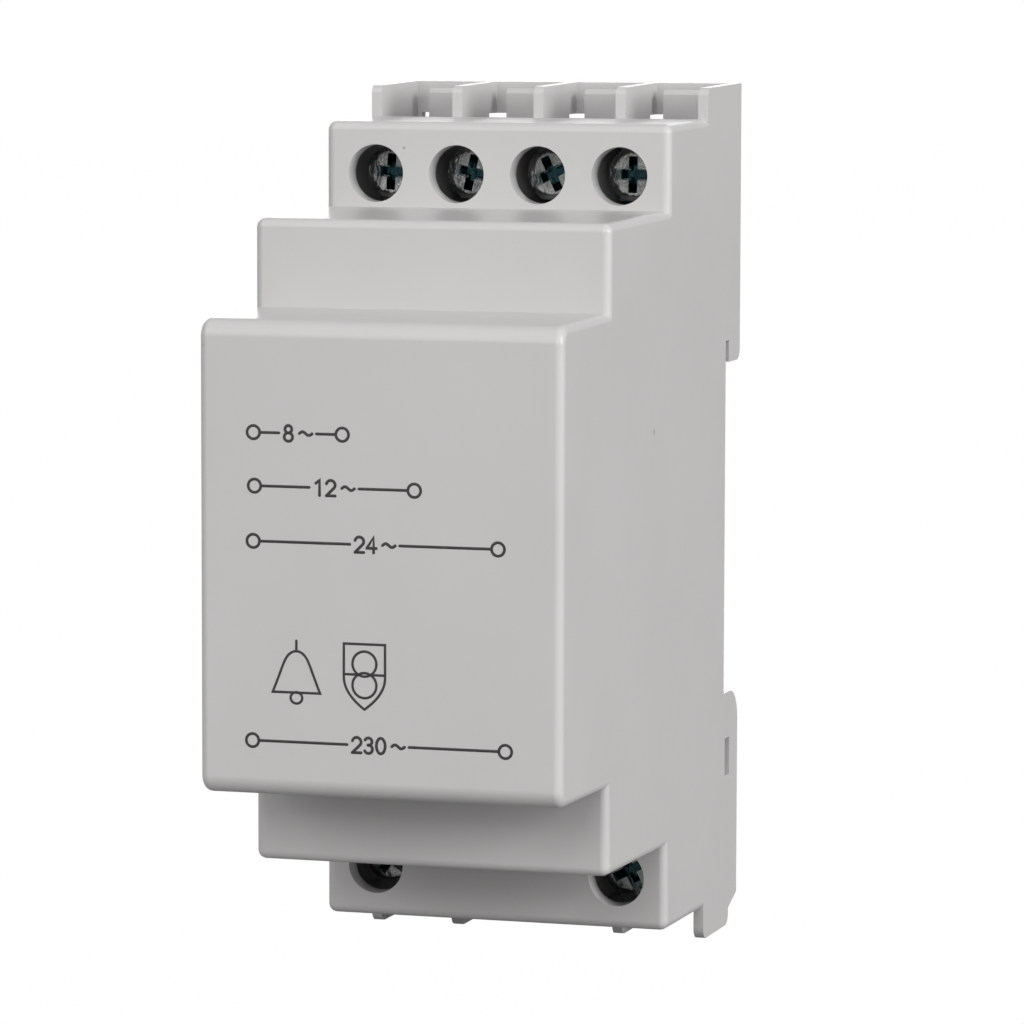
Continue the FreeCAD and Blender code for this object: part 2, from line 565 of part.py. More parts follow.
def rear_cover():
    """The moulded rear: rail seat, hook, foot with the clip's channel, tongues and latches."""
    body = new_body("rear_cover")
    profile = new_sketch(body, "YZ_Plane", "profile")
    skin = "rear_depth - cover_wall"
    pad_top = "hook_bottom - seat_margin"
    pad_low = "-(clip_top - seat_margin)"
    hook_corner = ("rear_depth", "hook_bottom")
    foot_corner = ("rear_depth", "-foot_top")
    foot_inner = (skin, "-foot_top - cover_wall")
    tail_corner = ("rear_depth", "-foot_bottom + tail_slant")
    outline(profile, [
        ("tongue_back", "cover_top"),
        ("tongue_back", "brow_top"),
        ("rear_depth", "brow_top"),
        hook_corner,
        ("lip_slot", "hook_bottom"),
        ("lip_slot", "slot_top"),
        ("-seat_relief", "slot_top"),
        ("-seat_relief", pad_top),
        ("0", pad_top),
        ("0", pad_low),
        ("-seat_relief", pad_low),
        ("-seat_relief", "-foot_top"),
        foot_corner,
        tail_corner,
        ("tongue_front", "-foot_bottom"),
        ("tongue_front", "-foot_bottom + cover_wall"),
        (skin, "-foot_bottom + cover_wall"),
        foot_inner,
        ("-cover_plate", "-foot_top - cover_wall"),
        ("-cover_plate", "slot_top + cover_wall"),
        (skin, "slot_top + cover_wall"),
        (skin, "brow_top - cover_wall"),
        ("tongue_front", "brow_top - cover_wall"),
        ("tongue_front", "cover_top"),
    ])
    grow(body, profile, "sheet", "cover_half * 2", both=True)
    soften(body, "Fillet", "hook_round", across(hook_corner), "hook_round")
    soften(body, "Fillet", "foot_round", across(foot_corner), "foot_round")
    soften(body, "Fillet", "foot_inner_round", across(foot_inner), "foot_round - cover_wall")

    # Channel of the rail clip, with lips that hold its wings, and the spring's peg.
    block = new_sketch(body, "YZ_Plane", "channel_block")
    inside = "rear_depth - cover_wall / 2"
    rectangle(block, "block_front", inside, "-foot_bottom", "-foot_top - cover_wall / 2")
    grow(body, block, "channel_block", "block_half * 2", both=True)
    channel = new_sketch(body, "XY_Plane", "channel", "-foot_top + cover_wall")
    rib_half = "clip_rib_width / 2 + clip_play"
    channel_end = "rear_depth + cover_wall"
    outline(channel, [
        ("-channel_half", "channel_floor"),
        ("channel_half", "channel_floor"),
        ("channel_half", "channel_lip"),
        (rib_half, "channel_lip"),
        (rib_half, channel_end),
        (f"-({rib_half})", channel_end),
        (f"-({rib_half})", "channel_lip"),
        ("-channel_half", "channel_lip"),
    ])
    cut(body, channel, "channel", "foot_bottom - foot_top + cover_wall * 2")
    peg = new_sketch(body, "XZ_Plane", "spring_peg", "-channel_floor + channel_wall / 2")
    peg_half = "window_width / 2 - peg_play"
    rectangle(peg, f"-({peg_half})", peg_half, "-peg_bottom", "-peg_top")
    grow(body, peg, "spring_peg", "channel_wall / 2 + clip_rear - channel_floor", back=True)

    # Tongues behind the wires, one in line with each upper terminal.
    tongue = new_sketch(body, "XZ_Plane", "tongue", "-tongue_back")
    centre = "-terminal_pitch * 1.5"
    left, right = f"{centre} - tongue_width / 2", f"{centre} + tongue_width / 2"
    rectangle(tongue, left, right, "cover_top - cover_wall", "deck_half + tongue_rise")
    pad = grow(body, tongue, "tongue", "cover_wall")
    row_of(body, pad, "tongues", "terminal_pitch * 3", len(TOP_PLACES))
    tips = across(("tongue_front", "deck_half + tongue_rise"))
    soften(body, "Chamfer", "tongue_tips", tips, "tongue_chamfer")

    # Latches that snap into the case's side windows, on webs inside the foot.
    for name, sign in (("left", "-"), ("right", "")):
        arm = new_sketch(body, "YZ_Plane", f"{name}_arm", f"{sign}cover_half")
        arm_low = "-latch_bottom - latch_play"
        rectangle(arm, "latch_setback", inside, arm_low, "-foot_top - cover_wall / 2")
        grow(body, arm, f"{name}_arm", "arm_wall", back=sign == "")
        latch = new_sketch(body, "XY_Plane", f"{name}_latch", "-latch_bottom + latch_play")
        root, tip = f"{sign}(cover_half - arm_wall / 2)", f"{sign}(cover_half + latch_tip)"
        front, back = "latch_setback + latch_play", "latch_rear - latch_play"
        outline(latch, [(root, front), (tip, back), (root, back)])
        grow(body, latch, f"{name}_latch", "latch_height - latch_play * 2")

    # Posts that press the core against the front ribs.
    posts = new_sketch(body, "XZ_Plane", "posts", "cover_plate / 2")
    post_x = "core_stack / 2 - post_inset"
    post_z = "core_half - post_inset"
    half = "post_width / 2"
    for x in (post_x, f"-({post_x})"):
        for z in (post_z, f"-({post_z})"):
            rectangle(posts, f"{x} - {half}", f"{x} + {half}", f"{z} - {half}", f"{z} + {half}")
    grow(body, posts, "posts", "core_rear - core_play - cover_plate / 2")


def rail_clip():
    """The sprung slider that grips the rail's lower edge: wings, rib, ramped nose and pull end."""
    body = new_body("rail_clip")
    section = new_sketch(body, "XY_Plane", "section", "-foot_bottom - clip_tail")
    wing, rib = "clip_width / 2", "clip_rib_width / 2"
    outline(section, [
        (f"-{wing}", "clip_front"),
        (wing, "clip_front"),
        (wing, "clip_middle"),
        (rib, "clip_middle"),
        (rib, "clip_rear"),
        (f"-{rib}", "clip_rear"),
        (f"-{rib}", "clip_middle"),
        (f"-{wing}", "clip_middle"),
    ])
    grow(body, section, "slider", "foot_bottom + clip_tail - foot_top")
    nose = new_sketch(body, "YZ_Plane", "nose")
    outline(nose, [
        ("clip_front", "-foot_top"),
        ("clip_front", "-clip_top"),
        ("clip_middle", "-clip_top"),
        ("clip_rear", "-clip_top - clip_ramp"),
        ("clip_rear", "-foot_top"),
    ])
    grow(body, nose, "nose", "clip_rib_width", both=True)
    window = new_sketch(body, "XZ_Plane", "spring_window", "-clip_front")
    rectangle(window, "-window_width / 2", "window_width / 2", "-window_bottom", "-window_top")
    cut(body, window, "spring_window", "clip_rear")
    pull = new_sketch(body, "XZ_Plane", "pull_slot", "-clip_front")
    pull_low = "-foot_bottom - clip_tail + clip_slot"
    rectangle(pull, "-window_width / 2", "window_width / 2", pull_low, f"{pull_low} + clip_slot")
    cut(body, pull, "pull_slot", "clip_rear")


def clip_spring():
    """The coil spring between the cover's peg and the upper edge of the clip's window."""
    helix = doc.addObject("Part::Helix", "clip_spring_path")
    helix.setExpression("Pitch", formula("spring_pitch"))
    helix.setExpression("Height", formula("spring_length - spring_wire - spring_play * 2"))
    helix.setExpression("Radius", formula("(spring_diameter - spring_wire) / 2"))
    section = doc.addObject("Part::RegularPolygon", "clip_spring_section")
    section.Polygon = 4
    section.setExpression("Circumradius", formula("spring_wire / 2"))
    section.setExpression("Placement.Base.x", formula("(spring_diameter - spring_wire) / 2"))
    section.Placement.Rotation = FreeCAD.Rotation(V(1, 0, 0), 90)
    spring = doc.addObject("Part::Sweep", "clip_spring")
    spring.Label = "clip_spring"
    spring.Sections = [section]
    spring.Spine = helix
    spring.Solid = True
    spring.Frenet = True
    spring.setExpression("Placement.Base.y", formula("spring_axis"))
    spring.setExpression("Placement.Base.z", formula("-peg_top + spring_wire / 2 + spring_play"))


def place_terminal(body, place, upper):
    """Puts a terminal's piece on its screw axis, turned over for the lower terminals."""
    body.setExpression("Placement.Base.x", formula(f"{place} * terminal_pitch"))
    body.setExpression("Placement.Base.z", formula("terminal_height" if upper else "-terminal_height"))
    body.setExpression("Placement.Rotation.Angle", "0" if upper else "180")
    body.Placement.Rotation = FreeCAD.Rotation(V(0, 1, 0), 0 if upper else 180)


def terminal_screw(label, place, upper):
    """A captive screw with a domed head, driver slot and cross recess, on the local Y axis."""
    body = new_body(label)
    profile = new_sketch(body, "XY_Plane", "profile")
    head, shank = "head_diameter / 2", "shank_diameter / 2"
    outline(profile, [
        ("0", "head_face"),
        (f"{head} - head_dome * 1.6", "head_face"),
        (head, "head_face + head_dome"),
        (head, "head_back"),
        (shank, "head_back"),
        (shank, "screw_tip"),
        ("0", "screw_tip"),
    ])
    turned = body.newObject("PartDesign::Revolution", f"{label}_turned")
    turned.Profile = profile
    turned.ReferenceAxis = (origin_part(body, "Y_Axis"), [""])
    turned.Angle = 360
    doc.recompute()
    slot = new_sketch(body, "XZ_Plane", "slot", "-head_face")
    rectangle(slot, "-head_diameter", "head_diameter", "-slot_width / 2", "slot_width / 2")
    cut(body, slot, "slot", "slot_depth")
    cross = new_sketch(body, "XZ_Plane", "cross", "-head_face")
    rectangle(cross, "-cross_width / 2", "cross_width / 2", "-cross_length / 2", "cross_length / 2")
    cut(body, cross, "cross", "cross_depth")
    place_terminal(body, place, upper)


def terminal_cage(label, place, upper):
    """A folded cage whose threaded wall rides on the screw and lifts the wire to the contact."""
    body = new_body(label)
    section = new_sketch(body, "XY_Plane", "section")
    rectangle(section, "-cage_half", "cage_half", "cage_front", "cage_rear")
    grow(body, section, "block", "cage_half_height * 2", both=True)
    room = new_sketch(body, "XY_Plane", "room")
    rectangle(room, "-cage_half + cage_side", "cage_half - cage_side", "cage_inner_front", "cage_inner_rear")
    cut(body, room, "room", "cage_half_height * 3", both=True)
    thread = new_sketch(body, "XZ_Plane", "thread", "-cage_front")
    circle(thread, "0", "0", "shank_diameter + thread_play * 2")
    cut(body, thread, "thread", "cage_nut * 1.5")
    place_terminal(body, place, upper)


def terminal_contact(label, place, upper):
    """A contact bar: tongue inside the cage, shoulder on the shelf and solder tag below it."""
    body = new_body(label)
    strip = new_sketch(body, "XZ_Plane", "strip", "-contact_back")
    shelf, under = "-terminal_rise", "-terminal_rise - roof_wall"
    right = [
        ("tongue_half", "cage_half_height"),
        ("tongue_half", f"{shelf} + shoulder_height"),
        ("shoulder_half", f"{shelf} + shoulder_height"),
        ("shoulder_half", shelf),
        ("neck_half", shelf),
        ("neck_half", under),
        ("tag_width / 2", under),
        ("tag_width / 2", "-tag_end"),
    ]
    left = [(f"-{x}", z) for x, z in reversed(right)]
    outline(strip, right + left)
    grow(body, strip, "strip", "contact_wall")
    place_terminal(body, place, upper)


def transformer():
    """Core, two-section bobbin, windings and their tapes, with the coil's axis upright."""
    core = new_body("core_e_stack")
    sheet_e = new_sketch(core, "YZ_Plane", "lamination")
    unit = "core_unit"
    outline(sheet_e, [
        ("-core_front", "core_half"),
        ("-core_front", "-window_half"),
        (f"-core_front + {unit}", "-window_half"),
        (f"-core_front + {unit}", "window_half"),
        (f"-core_front + {unit} * 2", "window_half"),
        (f"-core_front + {unit} * 2", "-window_half"),
        (f"-core_front + {unit} * 4", "-window_half"),
        (f"-core_front + {unit} * 4", "window_half"),
        (f"-core_front + {unit} * 5", "window_half"),
        (f"-core_front + {unit} * 5", "-window_half"),
        ("-core_rear", "-window_half"),
        ("-core_rear", "core_half"),
    ])
    grow(core, sheet_e, "stack", "core_stack", both=True)
    yoke = new_body("core_i_stack")
    sheet_i = new_sketch(yoke, "YZ_Plane", "lamination")
    rectangle(sheet_i, "-core_front", "-core_rear", "-core_half", "-window_half")
    grow(yoke, sheet_i, "stack", "core_stack", both=True)

    bobbin = new_body("bobbin")
    middle = "-core_middle"

    def ring(body, name, x, y, low, high):
        """A block round the coil's axis, between two heights."""
        sketch = new_sketch(body, "XY_Plane", name, low)
        rectangle(sketch, f"-({x})", x, f"{middle} - ({y})", f"{middle} + ({y})")
        return grow(body, sketch, name, f"{high} - ({low})")

    def bore(body, x, y):
        """The opening of a ring along the coil's axis."""
        sketch = new_sketch(body, "XY_Plane", "bore")
        rectangle(sketch, f"-({x})", x, f"{middle} - ({y})", f"{middle} + ({y})")
        cut(body, sketch, "bore", "core_half * 4", both=True)

    ring(bobbin, "tube", "tube_outer_x", "tube_outer_y", "-bobbin_half", "bobbin_half")
    flanges = {
        "lower_flange": ("-bobbin_half", "-bobbin_half + flange_wall"),
        "middle_flange": ("-flange_wall / 2", "flange_wall / 2"),
        "upper_flange": ("bobbin_half - flange_wall", "bobbin_half"),
    }
    for name, (low, high) in flanges.items():
        ring(bobbin, name, "flange_half_x", "flange_half_y", low, f"({high})")
    bore(bobbin, "tube_inner_x", "tube_inner_y")

    for name, low, high in (("primary", "-coil_high", "-coil_low"), ("secondary", "coil_low", "coil_high")):
        winding = new_body(f"{name}_winding")
        ring(winding, "coil", "coil_half_x", "coil_half_y", low, high)
        soften(winding, "Chamfer", "corners", upright, "winding_chamfer")
        bore(winding, "tube_outer_x + winding_play", "tube_outer_y + winding_play")
        tape = new_body(f"{name}_tape")
        ring(tape, "wrap", "tape_half_x + tape_wall", "tape_half_y + tape_wall", low, high)
        bore(tape, "tape_half_x", "tape_half_y")
        soften(tape, "Chamfer", "inner_corners", upright_at("tape_half_x"), "winding_chamfer")
        outside = upright_at("tape_half_x + tape_wall")
        soften(tape, "Chamfer", "outer_corners", outside, "winding_chamfer + tape_wall / 2")


def bent_path(sketch, run):
    """A path from the sketch's vertical axis to the front, then round a bend and down."""
    level, foot = "lead_height", "bobbin_half"
    corners = [
        ("0", level),
        (f"-({run}) + lead_bend", level),
        (f"-({run})", f"{level} - lead_bend"),
        (f"-({run})", foot),
    ]
    places = [V(size(u), size(v), 0) for u, v in corners]
    along = sketch.addGeometry(Part.LineSegment(places[0], places[1]))
    centre = V(places[1].x, places[2].y, 0)
    ring = Part.Circle(centre, V(0, 0, 1), size("lead_bend"))
    bend = sketch.addGeometry(Part.ArcOfCircle(ring, math.pi / 2, math.pi))
    down = sketch.addGeometry(Part.LineSegment(places[2], places[3]))
    sketch.addConstraint(Sketcher.Constraint("Coincident", along, 2, bend, 1))
    sketch.addConstraint(Sketcher.Constraint("Coincident", bend, 2, down, 1))
    for line, first in ((along, 0), (down, 2)):
        hold_point(sketch, line, 1, corners[first])
        hold_point(sketch, line, 2, corners[first + 1])
    rule = Sketcher.Constraint("Radius", bend, size("lead_bend"))
    sketch.setExpression(f"Constraints[{sketch.addConstraint(rule)}]", formula("lead_bend"))


def lead_section(body):
    """The section of a lead on the local XZ plane, drawn with six flats."""
    section = new_sketch(body, "XZ_Plane", "section")
    corner, flat = "lead_diameter / 2", "lead_diameter / 4"
    high = f"lead_diameter / 2 * {math.sin(math.pi / 3):.5f}"
    upper = [(corner, "0"), (flat, high), (f"-{flat}", high)]
    lower = [(f"-{corner}", "0"), (f"-{flat}", f"-{high}"), (flat, f"-{high}")]
    outline(section, [(u, f"lead_height + {v}") for u, v in upper + lower])
    return section


def bent_lead(label, x, y, run, upper=True):
    """An insulated lead from a place behind the core to the bobbin, upright in the YZ plane."""
    body = new_body(label)
    path = new_sketch(body, "YZ_Plane", "path")
    bent_path(path, run)
    section = lead_section(body)
    pipe = body.newObject("PartDesign::AdditivePipe", f"{label}_pipe")
    pipe.Profile = section
    pipe.Spine = path
    doc.recompute()
    body.setExpression("Placement.Base.x", formula(x))
    body.setExpression("Placement.Base.y", formula(y))
    body.Placement.Rotation = FreeCAD.Rotation(V(0, 1, 0), 0 if upper else 180)
    return body


def leads():
    """Leads from the bobbin's flanges to the solder tags, and the thermal link of the mains side."""
    tag = "contact_front"
    straight = "lead_rise + contact_front"
    for number, place in enumerate(TOP_PLACES, 1):
        x = f"{place} * terminal_pitch"
        label = f"secondary_lead_{number}"
        if place.endswith("1.5"):
            bent_lead(label, x, tag, straight)
            continue
        # The inner leads start beside the core and run aslant to their tags.
        side = "-" if place.startswith("-") else ""
        aside = f"({side}(core_stack / 2 + flange_half_x) / 2 - ({x}))"
        ahead = "(lead_rise + lead_setback + contact_front)"
        run = f"sqrt({aside} * {aside} + {ahead} * {ahead})"
        heel = f"lead_diameter / 2 * sqrt({aside} * {aside}) / {run}"
        slanted = bent_lead(label, x, f"{tag} - {heel}", run)
        slanted.Placement.Rotation = FreeCAD.Rotation(V(0, 0, 1), 1)
        slanted.setExpression("Placement.Rotation.Angle", formula(f"atan({aside} / {ahead})"))
    live = "1.5 * terminal_pitch"
    bent_lead("neutral_lead", "-1.5 * terminal_pitch", tag, straight, upper=False)
    link_rear = "contact_front - link_setback"
    link_front = f"{link_rear} - link_length"
    run = f"lead_rise + lead_setback * 2 + {link_front}"
    bent_lead("winding_lead", live, link_front, run, upper=False)
    tail = new_body("live_lead")
    grow(tail, lead_section(tail), "run", "link_setback")
    barrel = new_body("thermal_link")
    ring = new_sketch(barrel, "XZ_Plane", "section")
    circle(ring, "0", "lead_height", "link_diameter")
    grow(barrel, ring, "barrel", "link_length")
    for body, rear in ((tail, tag), (barrel, link_rear)):
        body.setExpression("Placement.Base.x", formula(live))
        body.setExpression("Placement.Base.y", formula(rear))
        body.Placement.Rotation = FreeCAD.Rotation(V(0, 1, 0), 180)


def terminals():
    """Four low-voltage terminals at the top and two mains terminals at the bottom."""
    wanted = [(place, True) for place in TOP_PLACES] + [(place, False) for place in BOTTOM_PLACES]
    for number, (place, upper) in enumerate(wanted, 1):
        terminal_screw(f"terminal_screw_{number}", place, upper)
        terminal_cage(f"terminal_cage_{number}", place, upper)
        terminal_contact(f"terminal_contact_{number}", place, upper)


def pieces():
    """The document's objects that are pieces of the product."""
    kinds = ("PartDesign::Body", "Part::Sweep")
    return [item for item in doc.Objects if item.TypeId in kinds]


def write_pieces():
    """Checks every object, then writes each piece to its own file."""
    doc.recompute()
    for item in doc.Objects:
        if "Invalid" in item.State or "Error" in item.State:
            raise RuntimeError(f"{item.Label} failed: {item.State}")
    for piece in pieces():
        if piece.Shape.isNull() or not piece.Shape.isValid():
            raise RuntimeError(f"{piece.Label} has no valid shape")
        if len(piece.Shape.Solids) != 1:
            raise RuntimeError(f"{piece.Label} has {len(piece.Shape.Solids)} solids")
    os.makedirs("parts", exist_ok=True)
    for piece in pieces():
        piece.Shape.exportStep(f"parts/{piece.Label}.step")


housing_shell()
rear_cover()
rail_clip()
clip_spring()
terminals()
transformer()
leads()
write_pieces()
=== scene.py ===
"""Looks of a rail-mounted doorbell transformer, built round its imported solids.

Shapes are worked out in millimetres in the shared frame and scaled to metres when they become a
mesh: X runs across the case, -Y is the front and +Z is up.
"""
from __future__ import annotations

import json
import logging
import math
from dataclasses import dataclass, field
from enum import Enum

import bmesh
import bpy
import numpy as np
from mathutils import Matrix, Vector

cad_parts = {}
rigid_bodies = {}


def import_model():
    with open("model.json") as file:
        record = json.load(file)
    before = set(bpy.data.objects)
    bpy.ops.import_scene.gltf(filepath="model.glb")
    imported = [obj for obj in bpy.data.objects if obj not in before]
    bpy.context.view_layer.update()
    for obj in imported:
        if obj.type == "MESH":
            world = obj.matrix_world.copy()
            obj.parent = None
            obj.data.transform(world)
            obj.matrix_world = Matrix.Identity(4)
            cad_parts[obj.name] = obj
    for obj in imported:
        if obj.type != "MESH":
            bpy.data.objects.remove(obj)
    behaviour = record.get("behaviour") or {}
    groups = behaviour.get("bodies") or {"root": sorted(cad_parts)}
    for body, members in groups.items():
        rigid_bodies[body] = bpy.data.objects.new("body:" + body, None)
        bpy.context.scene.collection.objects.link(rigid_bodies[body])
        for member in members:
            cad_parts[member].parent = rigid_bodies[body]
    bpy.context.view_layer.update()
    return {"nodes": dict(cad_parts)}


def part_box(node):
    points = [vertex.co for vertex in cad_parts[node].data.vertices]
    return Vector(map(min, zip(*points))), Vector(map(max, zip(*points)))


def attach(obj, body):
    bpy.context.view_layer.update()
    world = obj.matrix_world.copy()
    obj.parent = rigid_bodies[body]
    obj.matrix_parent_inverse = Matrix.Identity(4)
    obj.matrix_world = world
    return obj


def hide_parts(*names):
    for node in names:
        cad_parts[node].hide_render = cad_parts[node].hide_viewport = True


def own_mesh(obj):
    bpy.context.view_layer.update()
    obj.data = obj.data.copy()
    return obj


LOG = logging.getLogger("doorbell_transformer")
MM = 0.001
TURN = 2 * math.pi
Colour = tuple[float, float, float]
NodeColour = tuple[float, float, float, float]


class Slot(str, Enum):
    """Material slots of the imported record."""

    CASE = "case_grey"
    CLIP = "clip_grey"
    SPRING = "spring_steel"
    ZINC = "zinc_plated_steel"
    CONTACT = "tinned_brass"
    CORE = "core_steel"
    BOBBIN = "bobbin_nylon"
    COPPER = "copper_coil"
    TAPE = "coil_tape"
    WHITE_LEAD = "lead_white"
    BLUE_LEAD = "lead_blue"
    BROWN_LEAD = "lead_brown"
    LINK = "link_shell"
    INK = "print_ink"


class Socket(str, Enum):
    """Kinds of socket that an effect group can have."""

    VALUE = "NodeSocketFloat"
    VECTOR = "NodeSocketVector"


class Graph:
    """Adds nodes to one tree and joins them."""

    def __init__(self, tree: bpy.types.NodeTree) -> None:
        """Takes the tree to work in and empties it."""
        self.tree = tree
        self.tree.nodes.clear()

    def node(self, kind: str, settings: dict | None = None, **inputs: object) -> bpy.types.Node:
        """Adds a node.

        Args:
            kind: the node's type name without the leading ShaderNode.
            settings: properties of the node itself.
            inputs: values or source sockets by socket name, with _ for a space.

        Returns:
            The new node.
        """
        made = self.tree.nodes.new(f"ShaderNode{kind}")
        for name, value in (settings or {}).items():
            setattr(made, name, value)
        for name, value in inputs.items():
            self.feed(made, name.replace("_", " "), value)
        return made

    def feed(self, node: bpy.types.Node, name: str | int, value: object) -> None:
        """Sets an input to a constant, or joins a source socket to it.

        Args:
            node: the node that has the input.
            name: the input's name or number.
            value: the constant or the source socket.
        """
        if isinstance(value, bpy.types.NodeSocket):
            self.tree.links.new(value, node.inputs[name])
        else:
            node.inputs[name].default_value = value

    def math(self, operation: str, *values: object, clamp: bool = False) -> bpy.types.NodeSocket:
        """Adds a Math node.

        Args:
            operation: what the node works out.
            values: constants or source sockets, in the order of its inputs.
            clamp: whether the result is held between 0 and 1.

        Returns:
            The node's output.
        """
        made = self.node("Math", {"operation": operation, "use_clamp": clamp})
        for index, value in enumerate(values):
            self.feed(made, index, value)
        return made.outputs[0]

    def mix(self, factor: object, low: object, high: object) -> bpy.types.NodeSocket:
        """Mixes two colours.

        Args:
            factor: share of the second colour.
            low: the first colour.
            high: the second colour.

        Returns:
            The mixed colour.
        """
        made = self.node("Mix", {"data_type": "RGBA"})
        self.feed(made, 0, factor)
        self.feed(made, 6, low)
        self.feed(made, 7, high)
        return made.outputs[2]

    def spread(self, value: bpy.types.NodeSocket, low: float, high: float) -> bpy.types.NodeSocket:
        """Stretches a value from 0..1 to low..high and returns the result."""
        made = self.node("MapRange", Value=value, To_Min=low, To_Max=high)
        return made.outputs["Result"]


class Effects:
    """Shader groups that several finishes share, each built once."""

    @staticmethod
    def _group(
        name: str, inputs: dict[str, tuple[Socket, object]], outputs: list[str]
    ) -> tuple[bpy.types.NodeTree, Graph, bpy.types.Node, bpy.types.Node]:
        """Starts a group.

        Args:
            name: the group's name.
            inputs: kind and default of each input by name.
            outputs: names of the outputs, all plain values.

        Returns:
            The group, its graph, its input node and its output node.
        """
        group = bpy.data.node_groups.new(name, "ShaderNodeTree")
        graph = Graph(group)
        for title, (kind, default) in inputs.items():
            socket = group.interface.new_socket(title, in_out="INPUT", socket_type=kind.value)
            if kind is Socket.VALUE:
                socket.default_value = default
        for title in outputs:
            group.interface.new_socket(title, in_out="OUTPUT", socket_type=Socket.VALUE.value)
        return group, graph, group.nodes.new("NodeGroupInput"), group.nodes.new("NodeGroupOutput")

    @classmethod
    def moulded_grain(cls) -> bpy.types.NodeTree:
        """Fine eroded grain of a mould: a height, a gloss change and slow clouds of colour.

        Returns:
            The group.
        """
        if "moulded_grain" in bpy.data.node_groups:
            return bpy.data.node_groups["moulded_grain"]
        group, graph, enter, leave = cls._group(
            "moulded_grain",
            {"Vector": (Socket.VECTOR, None), "Scale": (Socket.VALUE, 5000.0)},
            ["Height", "Gloss", "Cloud"],
        )
        place, scale = enter.outputs["Vector"], enter.outputs["Scale"]
        fine = graph.node("TexNoise", Vector=place, Scale=scale, Detail=2.0, Roughness=0.6)
        pits = graph.node("TexVoronoi", Vector=place, Scale=graph.math("MULTIPLY", scale, 0.7))
        height = graph.math("MULTIPLY_ADD", pits.outputs["Distance"], 0.5, fine.outputs["Fac"])
        graph.feed(leave, "Height", height)
        medium = graph.math("MULTIPLY", scale, 0.08)
        gloss = graph.node("TexNoise", Vector=place, Scale=medium, Detail=3.0, Roughness=0.55)
        graph.feed(leave, "Gloss", gloss.outputs["Fac"])
        slow = graph.math("MULTIPLY", scale, 0.012)
        cloud = graph.node("TexNoise", Vector=place, Scale=slow, Detail=2.0, Roughness=0.5)
        graph.feed(leave, "Cloud", cloud.outputs["Fac"])
        return group

    @classmethod
    def specks(cls) -> bpy.types.NodeTree:
        """Scattered round specks: one may sit in each cell, in a share of the cells.

        Returns:
            The group.
        """
        if "specks" in bpy.data.node_groups:
            return bpy.data.node_groups["specks"]
        group, graph, enter, leave = cls._group(
            "specks",
            {
                "Vector": (Socket.VECTOR, None),
                "Scale": (Socket.VALUE, 600.0),
                "Share": (Socket.VALUE, 0.05),
                "Size": (Socket.VALUE, 0.12),
            },
            ["Mask"],
        )
        cells = graph.node(
            "TexVoronoi", Vector=enter.outputs["Vector"], Scale=enter.outputs["Scale"]
        )
        lot = graph.node("SeparateColor", Color=cells.outputs["Color"])
        drawn = graph.math("LESS_THAN", lot.outputs[0], enter.outputs["Share"])
        width = graph.math("MULTIPLY", enter.outputs["Size"], lot.outputs[1])
        inside = graph.math("SUBTRACT", width, cells.outputs["Distance"])
        edge = graph.math("MULTIPLY", inside, 18.0, clamp=True)
        graph.feed(leave, "Mask", graph.math("MULTIPLY", edge, drawn))
        return group

    @classmethod
    def spot_mark(cls) -> bpy.types.NodeTree:
        """One soft spot: full at its place and gone at its radius.

        Returns:
            The group.
        """
        if "spot_mark" in bpy.data.node_groups:
            return bpy.data.node_groups["spot_mark"]
        group, graph, enter, leave = cls._group(
            "spot_mark",
            {
                "Vector": (Socket.VECTOR, None),
                "Place": (Socket.VECTOR, None),
                "Radius": (Socket.VALUE, 0.0003),
            },
            ["Mask"],
        )
        gap = graph.node("VectorMath", {"operation": "DISTANCE"})
        graph.feed(gap, 0, enter.outputs["Vector"])
        graph.feed(gap, 1, enter.outputs["Place"])
        share = graph.math("DIVIDE", gap.outputs["Value"], enter.outputs["Radius"])
        graph.feed(leave, "Mask", graph.math("SUBTRACT", 1.0, share, clamp=True))
        return group

    @classmethod
    def drawn_streaks(cls) -> bpy.types.NodeTree:
        """Streaks along one direction, from noise that the Stretch vector draws out.

        Returns:
            The group.
        """
        if "drawn_streaks" in bpy.data.node_groups:
            return bpy.data.node_groups["drawn_streaks"]
        group, graph, enter, leave = cls._group(
            "drawn_streaks",
            {
                "Vector": (Socket.VECTOR, None),
                "Stretch": (Socket.VECTOR, None),
                "Scale": (Socket.VALUE, 3000.0),
            },
            ["Height", "Stain"],
        )
        drawn = graph.node("VectorMath", {"operation": "MULTIPLY"})
        graph.feed(drawn, 0, enter.outputs["Vector"])
        graph.feed(drawn, 1, enter.outputs["Stretch"])
        lines = graph.node(
            "TexNoise", Vector=drawn.outputs[0], Scale=enter.outputs["Scale"], Detail=3.0
        )
        graph.feed(leave, "Height", lines.outputs["Fac"])
        slow = graph.math("MULTIPLY", enter.outputs["Scale"], 0.15)
        stain = graph.node("TexNoise", Vector=enter.outputs["Vector"], Scale=slow, Detail=2.0)
        graph.feed(leave, "Stain", stain.outputs["Fac"])
        return group


